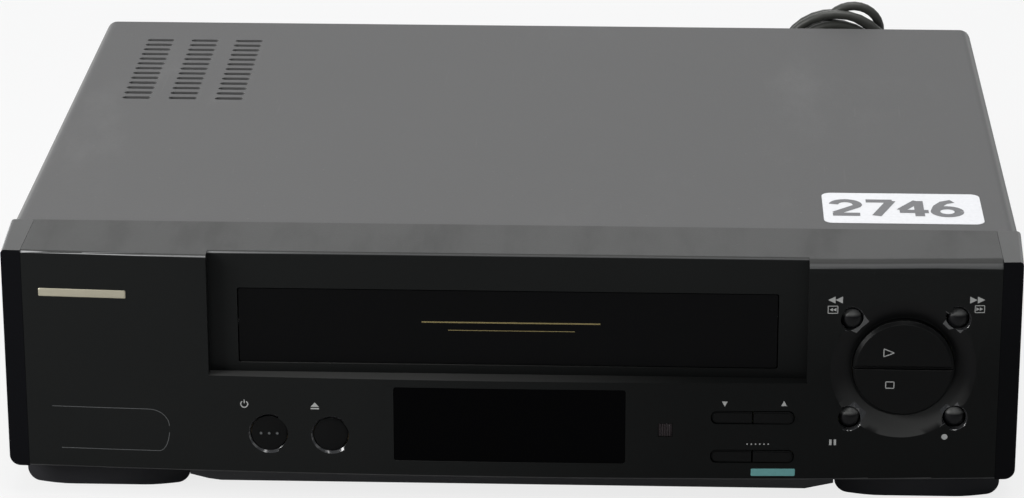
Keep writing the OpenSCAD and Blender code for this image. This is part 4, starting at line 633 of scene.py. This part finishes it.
def add_lead():
    """The lead in one piece, with its places from the recorder to the plug and its length."""
    turns = int((HANK_END - HANK_START) * HANK_STEPS)
    hank = [Vector(hank_point(HANK_START + i / HANK_STEPS)) for i in range(turns + 1)]
    route = smooth_route(LEAD_FROM, ROUTE_STEPS)[:-1] + hank + smooth_route(LEAD_TO, ROUTE_STEPS)[1:]
    curve = bpy.data.curves.new("lead", "CURVE")
    curve.dimensions = "3D"
    curve.bevel_depth = LEAD_D / 2 * MM
    curve.bevel_resolution = 5
    curve.use_fill_caps = True
    spline = curve.splines.new("POLY")
    spline.points.add(len(route) - 1)
    places = [spot(*p) for p in route]
    for point, place in zip(spline.points, places):
        point.co = (*place, 1)
    lead = add_object("lead", curve, LEAD, "case")
    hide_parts("mains_lead", "lead_hank")
    length = sum((b - a).length for a, b in zip(places, places[1:]))
    return lead, places, length


# The tie's band: its gap to the lead at the sides and at front and back, its corners, and its
# ribbed section as (out, up) points
TIE_SIDE_GAP, TIE_GAP, TIE_CORNER = 0.9, 1.5, 3
TIE_SECTION = ((0, -2.2), (0.45, -2.0), (0.3, -0.6), (0.55, 0), (0.3, 0.6), (0.45, 2.0), (0, 2.2))
# Its twisted ends: turns, length, and radius of the twist and of each wire
TWIST_TURNS, TWIST_LONG, TWIST_R, WIRE_R = 3, 13.0, 0.7, 0.45
TWIST_STEPS, WIRE_SIDES = 32, 6


def add_twisted_end(points, faces, strand, y, z):
    """Adds one of the two wires of the twist, which starts at y and z behind the hank."""
    first, n = len(points), WIRE_SIDES
    for i in range(TWIST_STEPS + 1):
        t = i / TWIST_STEPS
        a = strand + t * TWIST_TURNS * 2 * math.pi
        wire_x = HANK_X - 2 + t * TWIST_LONG * 0.8
        wire_y = y + TWIST_R * math.sin(a)
        wire_z = z + TWIST_R * math.cos(a) - t * 3
        for k in range(n):
            b = k * math.pi / 3
            points.append(spot(wire_x, wire_y + WIRE_R * math.cos(b), wire_z + WIRE_R * math.sin(b)))
    for i in range(TWIST_STEPS):
        for k in range(n):
            a, b = first + i * n + k, first + i * n + (k + 1) % n
            faces.append((a, b, b + n, a + n))
    faces.append(tuple(first + k for k in reversed(range(n))))
    faces.append(tuple(first + TWIST_STEPS * n + k for k in range(n)))


def add_tie():
    """A paper-covered wire tie round the hank's waist, with its ends twisted behind."""
    z = (HANK_LOW + HANK_HIGH) / 2
    half = HANK_WIDE - HANK_WAIST + LEAD_D / 2 + TIE_SIDE_GAP
    y0 = HANK_Y - HANK_LEAN * z / 100 - LEAD_D / 2 - TIE_GAP
    y1 = y0 + 2 * HANK_LAYER + LEAD_D + 2 * TIE_GAP
    points, faces = [], []
    ring = []
    corner = TIE_CORNER
    for cx, cy, start in ((half - corner, y1 - corner, 0), (-half + corner, y1 - corner, 90),
                          (-half + corner, y0 + corner, 180), (half - corner, y0 + corner, 270)):
        for k in range(5):
            a = math.radians(start + 22.5 * k)
            ring.append((cx + corner * math.cos(a), cy + corner * math.sin(a), math.cos(a), math.sin(a)))
    for x, y, nx, ny in ring:
        for out, up in TIE_SECTION:
            points.append(spot(HANK_X + x + nx * out, y + ny * out, z + up))
    n, m = len(ring), len(TIE_SECTION)
    for i in range(n):
        for j in range(m):
            a, b = i * m + j, i * m + (j + 1) % m
            c, d = ((i + 1) % n) * m + (j + 1) % m, ((i + 1) % n) * m + j
            faces.append((a, b, c, d))
    for strand in (0, math.pi):
        add_twisted_end(points, faces, strand, y1 + 1.0, z)
    tie = add_mesh("wire_tie", points, faces, CHASSIS, "case", True)
    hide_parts("lead_tie")
    return tie


lead, lead_places, lead_length = add_lead()
tie = add_tie()


# Prints and plates, laid on the surface of a node

surfaces = {}
INK_PROUD = 0.05


def surface_of(node):
    """The node's surface as a tree that rays can be cast at, made once."""
    if node not in surfaces:
        mesh = nodes[node].data
        surfaces[node] = BVHTree.FromPolygons([v.co for v in mesh.vertices],
                                              [p.vertices for p in mesh.polygons])
    return surfaces[node]


def laid_on(node, x, z, proud):
    """The point of the node's front surface at x and z, moved a little to the front."""
    start = Vector((x * MM, (FRONT_Y - 30) * MM, z * MM))
    hit = surface_of(node).ray_cast(start, Vector((0, 1, 0)))[0]
    return hit - Vector((0, proud * MM, 0)) if hit else None


def print_shapes(name, node, shapes, material, body):
    """Filled outlines of (x, z) points above the panel's lower edge, as one thin printed piece."""
    points, faces = [], []
    for shape in shapes:
        first = len(points)
        places = [laid_on(node, x, z + PANEL_Z, INK_PROUD) for x, z in shape]
        if any(p is None for p in places):
            continue
        points += places
        faces.append(tuple(range(first, first + len(shape))))
    return add_mesh(name, points, faces, material, body)


def stroke(path, width):
    """Quads along a path of (x, z) points, width across."""
    sides = []
    for i, (x, z) in enumerate(path):
        a, b = path[max(i - 1, 0)], path[min(i + 1, len(path) - 1)]
        along = Vector((b[0] - a[0], b[1] - a[1])).normalized()
        out = Vector((along.y, -along.x)) * width / 2
        sides.append(((x + out.x, z + out.y), (x - out.x, z - out.y)))
    return [(a, c, d, b) for (a, b), (c, d) in zip(sides, sides[1:])]


def arc(cx, cz, r, start, end, steps):
    """Points from one angle to another, in degrees, round a middle."""
    return [(cx + r * math.cos(math.radians(start + (end - start) * i / steps)),
             cz + r * math.sin(math.radians(start + (end - start) * i / steps)))
            for i in range(steps + 1)]


def disc(cx, cz, r, steps=16):
    return arc(cx, cz, r, 0, 360 * (steps - 1) / steps, steps - 1)


def triangle(x, z, w, h, way):
    """way is left, right, up or down; x and z are the middle."""
    if way in ("left", "right"):
        s = 1 if way == "right" else -1
        return [(x + s * w / 2, z), (x - s * w / 2, z + h / 2), (x - s * w / 2, z - h / 2)]
    s = 1 if way == "up" else -1
    return [(x, z + s * h / 2), (x - w / 2, z - s * h / 2), (x + w / 2, z - s * h / 2)]


def box_outline(x0, x1, z0, z1):
    return [(x0, z0), (x1, z0), (x1, z1), (x0, z1)]


def round_box(x0, x1, z0, z1, corner, steps):
    """The outline of a box with round corners."""
    outline = []
    for cx, cz, start in ((x1 - corner, z1 - corner, 0), (x0 + corner, z1 - corner, 90),
                          (x0 + corner, z0 + corner, 180), (x1 - corner, z0 + corner, 270)):
        outline += arc(cx, cz, corner, start, start + 90, steps)
    return outline


def corner_stroke(corners, width):
    """A closed outline, each side its own quad with square ends."""
    quads = []
    for a, b in zip(corners, corners[1:] + corners[:1]):
        quads += stroke([a, b], width)
    return quads


# Widths of the prints' lines
BOLD_LINE, KEY_LINE, BOX_LINE, FAINT_LINE = 0.38, 0.32, 0.28, 0.22


def add_panel_prints():
    """The transport symbols on the panel and on the keys."""
    shapes = []
    # Standby: a broken ring with a short bar
    shapes += stroke(arc(-94.7, 26.6, 1.25, 125, 415, 14), BOLD_LINE)
    shapes += stroke([(-94.7, 26.9), (-94.7, 28.3)], BOLD_LINE)
    # Eject: a triangle over a bar
    shapes.append(triangle(-69.4, 27.0, 3.0, 1.7, "up"))
    shapes += stroke([(-70.9, 25.5), (-67.9, 25.5)], 0.5)
    # Channel down and up
    shapes.append(triangle(76.5, 29.3, 2.0, 2.0, "down"))
    shapes.append(triangle(97.5, 29.6, 2.0, 2.0, "up"))
    for i in range(6):
        shapes.append(disc(84.7 + i * 1.5, 14.0, 0.28, 8))
    # Rewind and fast forward, with a boxed pair below
    for x in (113.4, 116.0):
        shapes.append(triangle(x, 68.8, 2.6, 2.6, "left"))
    for x in (163.3, 166.0):
        shapes.append(triangle(x, 68.5, 2.6, 2.6, "right"))
    shapes += corner_stroke(box_outline(112.2, 115.6, 63.8, 66.5), BOX_LINE)
    shapes += corner_stroke(box_outline(163.9, 167.2, 63.8, 66.4), BOX_LINE)
    for x in (113.3, 114.5):
        shapes.append(triangle(x, 65.15, 1.2, 1.3, "left"))
    for x in (164.9, 166.1):
        shapes.append(triangle(x, 65.1, 1.2, 1.3, "right"))
    # Pause and record
    for x in (114.3, 115.9):
        shapes.append(box_outline(x - 0.42, x + 0.42, 13.6, 15.8))
    shapes.append(disc(154.8, 16.6, 1.1))
    print_shapes("panel_prints", "front_panel", shapes, LEGEND, "case")
    dots = [disc(-86 + i * 2.9, 15.5, 0.5, 10) for i in (-1, 0, 1)]
    print_shapes("standby_dots", "standby_button", dots, FAINT, "standby_button")
    play = corner_stroke([(136.0, 48.8), (132.3, 50.3), (132.3, 47.3)], KEY_LINE)
    print_shapes("play_print", "play_button", play, LEGEND, "play_button")
    stop = corner_stroke(box_outline(133.3, 136.2, 35.4, 37.8), KEY_LINE)
    print_shapes("stop_print", "stop_button", stop, LEGEND, "stop_button")


def badge_outline():
    """The long outline at the lower left, pointed towards the keys."""
    top = [(-164.2 + i * 35.0 / 12, 23.6) for i in range(13)]
    nose = [(-129.2 + 7.3 * math.sin(math.radians(a)), 17.3 + 6.3 * math.cos(math.radians(a)))
            for a in range(10, 100, 10)]
    under = [(-121.9 - 3.9 * (1 - math.cos(math.radians(a))), 16.3 - 8.7 * math.sin(math.radians(a)))
             for a in range(10, 100, 10)]
    low = [(-125.8 - i * 35.5 / 12, 7.6) for i in range(13)]
    return stroke(top + nose, FAINT_LINE) + stroke(under + low, FAINT_LINE)


# The plates on the panel: their corners, their bevelled rim, and the glue under them
PLATE_CORNER, PLATE_RIM, PLATE_GLUE = 0.4, 0.25, 0.02


def raised_plate(name, x0, x1, z0, z1, thick, material):
    """A thin plate with round corners and a bevelled rim that follows the front panel's surface."""
    outline = round_box(x0, x1, z0, z1, PLATE_CORNER, 4)
    middle = ((x0 + x1) / 2, (z0 + z1) / 2)
    rim = min(PLATE_RIM, thick)
    points, faces = [], []
    for inset, proud in ((0, 0.0), (0, thick * 0.5), (rim, thick)):
        for x, z in outline:
            sx = 1 - inset / ((x1 - x0) / 2)
            sz = 1 - inset / ((z1 - z0) / 2)
            px = middle[0] + (x - middle[0]) * sx
            pz = middle[1] + (z - middle[1]) * sz
            points.append(laid_on("front_panel", px, pz + PANEL_Z, proud + PLATE_GLUE))
    n = len(outline)
    for level in range(2):
        for i in range(n):
            j = (i + 1) % n
            faces.append((level * n + i, level * n + j, (level + 1) * n + j, (level + 1) * n + i))
    faces.append(tuple(range(2 * n, 3 * n)))
    add_mesh(name, points, faces, material, "case")


add_panel_prints()
print_shapes("badge_outline", "front_panel", badge_outline(), FAINT, "case")
raised_plate("teal_plate", 86.2, 101.9, 1.7, 4.5, 0.12, TEAL)
raised_plate("name_place", -167.4, -136.1, 65.6, 68.6, 0.35, PLATE)
rules = stroke([(-31.4, 56.6), (32.0, 56.6)], 0.5) + stroke([(-22, 53.6), (23, 53.6)], 0.25)
print_shapes("flap_rules", "cassette_flap", rules, GOLD, "cassette_flap")


# The number label on the cover

LABEL = (112.0, 169.8, 40.2, 73.4)
LABEL_CORNER, LABEL_THICK = 3.5, 0.12
NUMBER_PLACE = (4.0, 9.4)
DIGIT_STEP, DIGIT_SCALE, PEN = 12.2, 1.5, 3.5
# Each line of a digit lies a little above the one before, so that no two lie in one plane
LINE_RISE = 0.015
# The lines of each digit, on a field 6 wide and 10 high
DIGITS = {
    "2": [arc(2.9, 7.1, 2.9, 175, -20, 14) + [(0.3, 0.9)], [(-0.4, 0.0), (6.2, 0.0)]],
    "7": [[(-0.2, 10), (6.2, 10)], [(6.0, 10.3), (2.0, -0.9)]],
    "4": [[(4.4, -0.9), (4.4, 10.4)], [(4.2, 10.2), (-0.1, 3.4)], [(-0.4, 2.6), (6.6, 2.6)]],
    "6": [arc(3.0, 2.7, 2.9, 0, 360, 28), [(0.15, 3.2), (0.9, 6.6), (2.4, 9.2), (4.6, 10.4)]],
}


def add_label():
    """A paper label with round corners and a number in thick strokes."""
    z, thick = COVER_TOP, LABEL_THICK
    outline = round_box(*LABEL, LABEL_CORNER, 8)
    n = len(outline)
    points = [spot(x, y, z + 0.01) for x, y in outline] + [spot(x, y, z + thick) for x, y in outline]
    faces = [(i, (i + 1) % n, n + (i + 1) % n, n + i) for i in range(n)] + [tuple(range(n, 2 * n))]
    add_mesh("number_label", points, faces, PAPER, "case")
    points, faces = [], []
    left, low = LABEL[0] + NUMBER_PLACE[0], LABEL[2] + NUMBER_PLACE[1]
    for i, digit in enumerate("2746"):
        for layer, path in enumerate(DIGITS[digit]):
            run = [(left + i * DIGIT_STEP + x * DIGIT_SCALE, low + y * DIGIT_SCALE) for x, y in path]
            for quad in stroke(run, PEN):
                first = len(points)
                points += [spot(x, y, z + thick + 0.03 + LINE_RISE * layer) for x, y in quad]
                faces.append(tuple(range(first, first + 4)))
    add_mesh("number_print", points, faces, NUMBER, "case")


add_label()


# Screw slots, drawn as painted shade

# The side screws' outer faces and places, and those of the back
SIDE_HEADS_X, SIDE_SCREWS_Y, SIDE_SCREWS_Z = 182.9, (60, 240), 21
BACK_SCREWS_X, BACK_SCREWS_DOWN, BACK_HEADS = (-160, 20, 160), 12, 1.2
# Half the length and half the width of a slot, and its height over the head, in metres
SLOT_HALF, SLOT_NARROW, SLOT_PROUD = 0.0019, 0.00035, 0.00002


def add_screw_slot_shade():
    """The crossed slots in the heads of the cover's screws, as flat dark quads of painted shade."""
    places = []
    for side in (-1, 1):
        for y in SIDE_SCREWS_Y:
            places.append((spot(side * SIDE_HEADS_X, y, SIDE_SCREWS_Z), Vector((side, 0, 0))))
    for x in BACK_SCREWS_X:
        places.append((spot(x, CASE_D + BACK_HEADS, COVER_TOP - BACK_SCREWS_DOWN), Vector((0, 1, 0))))
    points, faces = [], []
    for place, out in places:
        across = Vector((0, 0, 1)).cross(out)
        up = Vector((0, 0, 1))
        for a, b in ((across, up), (up, across)):
            first = len(points)
            for s, t in ((-1, -1), (1, -1), (1, 1), (-1, 1)):
                points.append(place + out * SLOT_PROUD + a * s * SLOT_HALF + b * t * SLOT_NARROW)
            faces.append(tuple(range(first, first + 4)))
    add_mesh("screw_slot_shade", points, faces, RUBBER, "case")


add_screw_slot_shade()


# Studio

# Each lamp's name, place, aim, size in metres and power in watts
LAMPS = (
    ("top_softbox", (0.1, 0.1, 1.7), (0, 0, 0.05), (1.6, 1.2), 27),
    ("back_softbox", (0, 2.6, 0.95), (0, 0, 0.05), (4.2, 1.7), 32),
    ("front_softbox", (-0.95, -0.6, 0.55), (-0.1, -0.1, 0.04), (0.6, 0.5), 13),
    ("side_softbox", (1.5, -0.5, 0.9), (0, 0, 0.04), (0.7, 0.7), 0.8),
)
FLOOR_HALF, FLOOR_GREY, FLOOR_GLOW = 6.0, 0.5, 0.8
SKY_TINT, SKY_LIGHT = (0.9, 0.95, 1.0, 1), 0.27


def add_lamp(name, place, target, size, power):
    data = bpy.data.lights.new(name, "AREA")
    data.shape = "RECTANGLE"
    data.size, data.size_y = size
    data.energy = power
    lamp = bpy.data.objects.new(name, data)
    lamp.location = place
    lamp.rotation_euler = (Vector(target) - Vector(place)).to_track_quat("-Z", "Y").to_euler()
    bpy.context.scene.collection.objects.link(lamp)


def seen_by_camera(tree):
    """1 where the camera looks, straight or through something clear, and 0 for all other light."""
    path = tree.nodes.new("ShaderNodeLightPath")
    either = tree.nodes.new("ShaderNodeMath")
    either.operation = "MAXIMUM"
    tree.links.new(path.outputs["Is Camera Ray"], either.inputs[0])
    tree.links.new(path.outputs["Is Transmission Ray"], either.inputs[1])
    return either


def add_floor():
    """A pale floor that the camera sees mostly white, with the recorder's shadow on it."""
    mesh = bpy.data.meshes.new("floor")
    r = FLOOR_HALF
    mesh.from_pydata([(-r, -r, 0), (r, -r, 0), (r, r, 0), (-r, r, 0)], [], [(0, 1, 2, 3)])
    floor = bpy.data.objects.new("floor", mesh)
    bpy.context.scene.collection.objects.link(floor)
    paint = bpy.data.materials.new("pale_floor")
    paint.use_nodes = True
    tree = paint.node_tree
    lit = tree.nodes["Principled BSDF"]
    lit.inputs["Base Color"].default_value = (FLOOR_GREY, FLOOR_GREY, FLOOR_GREY, 1)
    lit.inputs["Roughness"].default_value = 0.9
    glow = tree.nodes.new("ShaderNodeEmission")
    glow.inputs["Strength"].default_value = 1.0
    mixed = tree.nodes.new("ShaderNodeMixShader")
    share = tree.nodes.new("ShaderNodeMath")
    share.operation = "MULTIPLY"
    share.inputs[1].default_value = FLOOR_GLOW
    tree.links.new(seen_by_camera(tree).outputs[0], share.inputs[0])
    tree.links.new(share.outputs[0], mixed.inputs[0])
    tree.links.new(lit.outputs[0], mixed.inputs[1])
    tree.links.new(glow.outputs[0], mixed.inputs[2])
    tree.links.new(mixed.outputs[0], tree.nodes["Material Output"].inputs["Surface"])
    mesh.materials.append(paint)


def add_world():
    """White where the camera looks, and a soft cool light for everything else."""
    world = bpy.data.worlds.new("studio")
    world.use_nodes = True
    bpy.context.scene.world = world
    tree = world.node_tree
    tree.nodes.clear()
    path = tree.nodes.new("ShaderNodeLightPath")
    seen = tree.nodes.new("ShaderNodeBackground")
    seen.inputs["Strength"].default_value = 1.0
    light = tree.nodes.new("ShaderNodeBackground")
    light.inputs["Color"].default_value = SKY_TINT
    light.inputs["Strength"].default_value = SKY_LIGHT
    mixed = tree.nodes.new("ShaderNodeMixShader")
    output = tree.nodes.new("ShaderNodeOutputWorld")
    tree.links.new(path.outputs["Is Camera Ray"], mixed.inputs[0])
    tree.links.new(light.outputs[0], mixed.inputs[1])
    tree.links.new(seen.outputs[0], mixed.inputs[2])
    tree.links.new(mixed.outputs[0], output.inputs[0])


add_floor()
add_world()
for lamp in LAMPS:
    add_lamp(*lamp)
bpy.context.scene.view_settings.view_transform = "Standard"
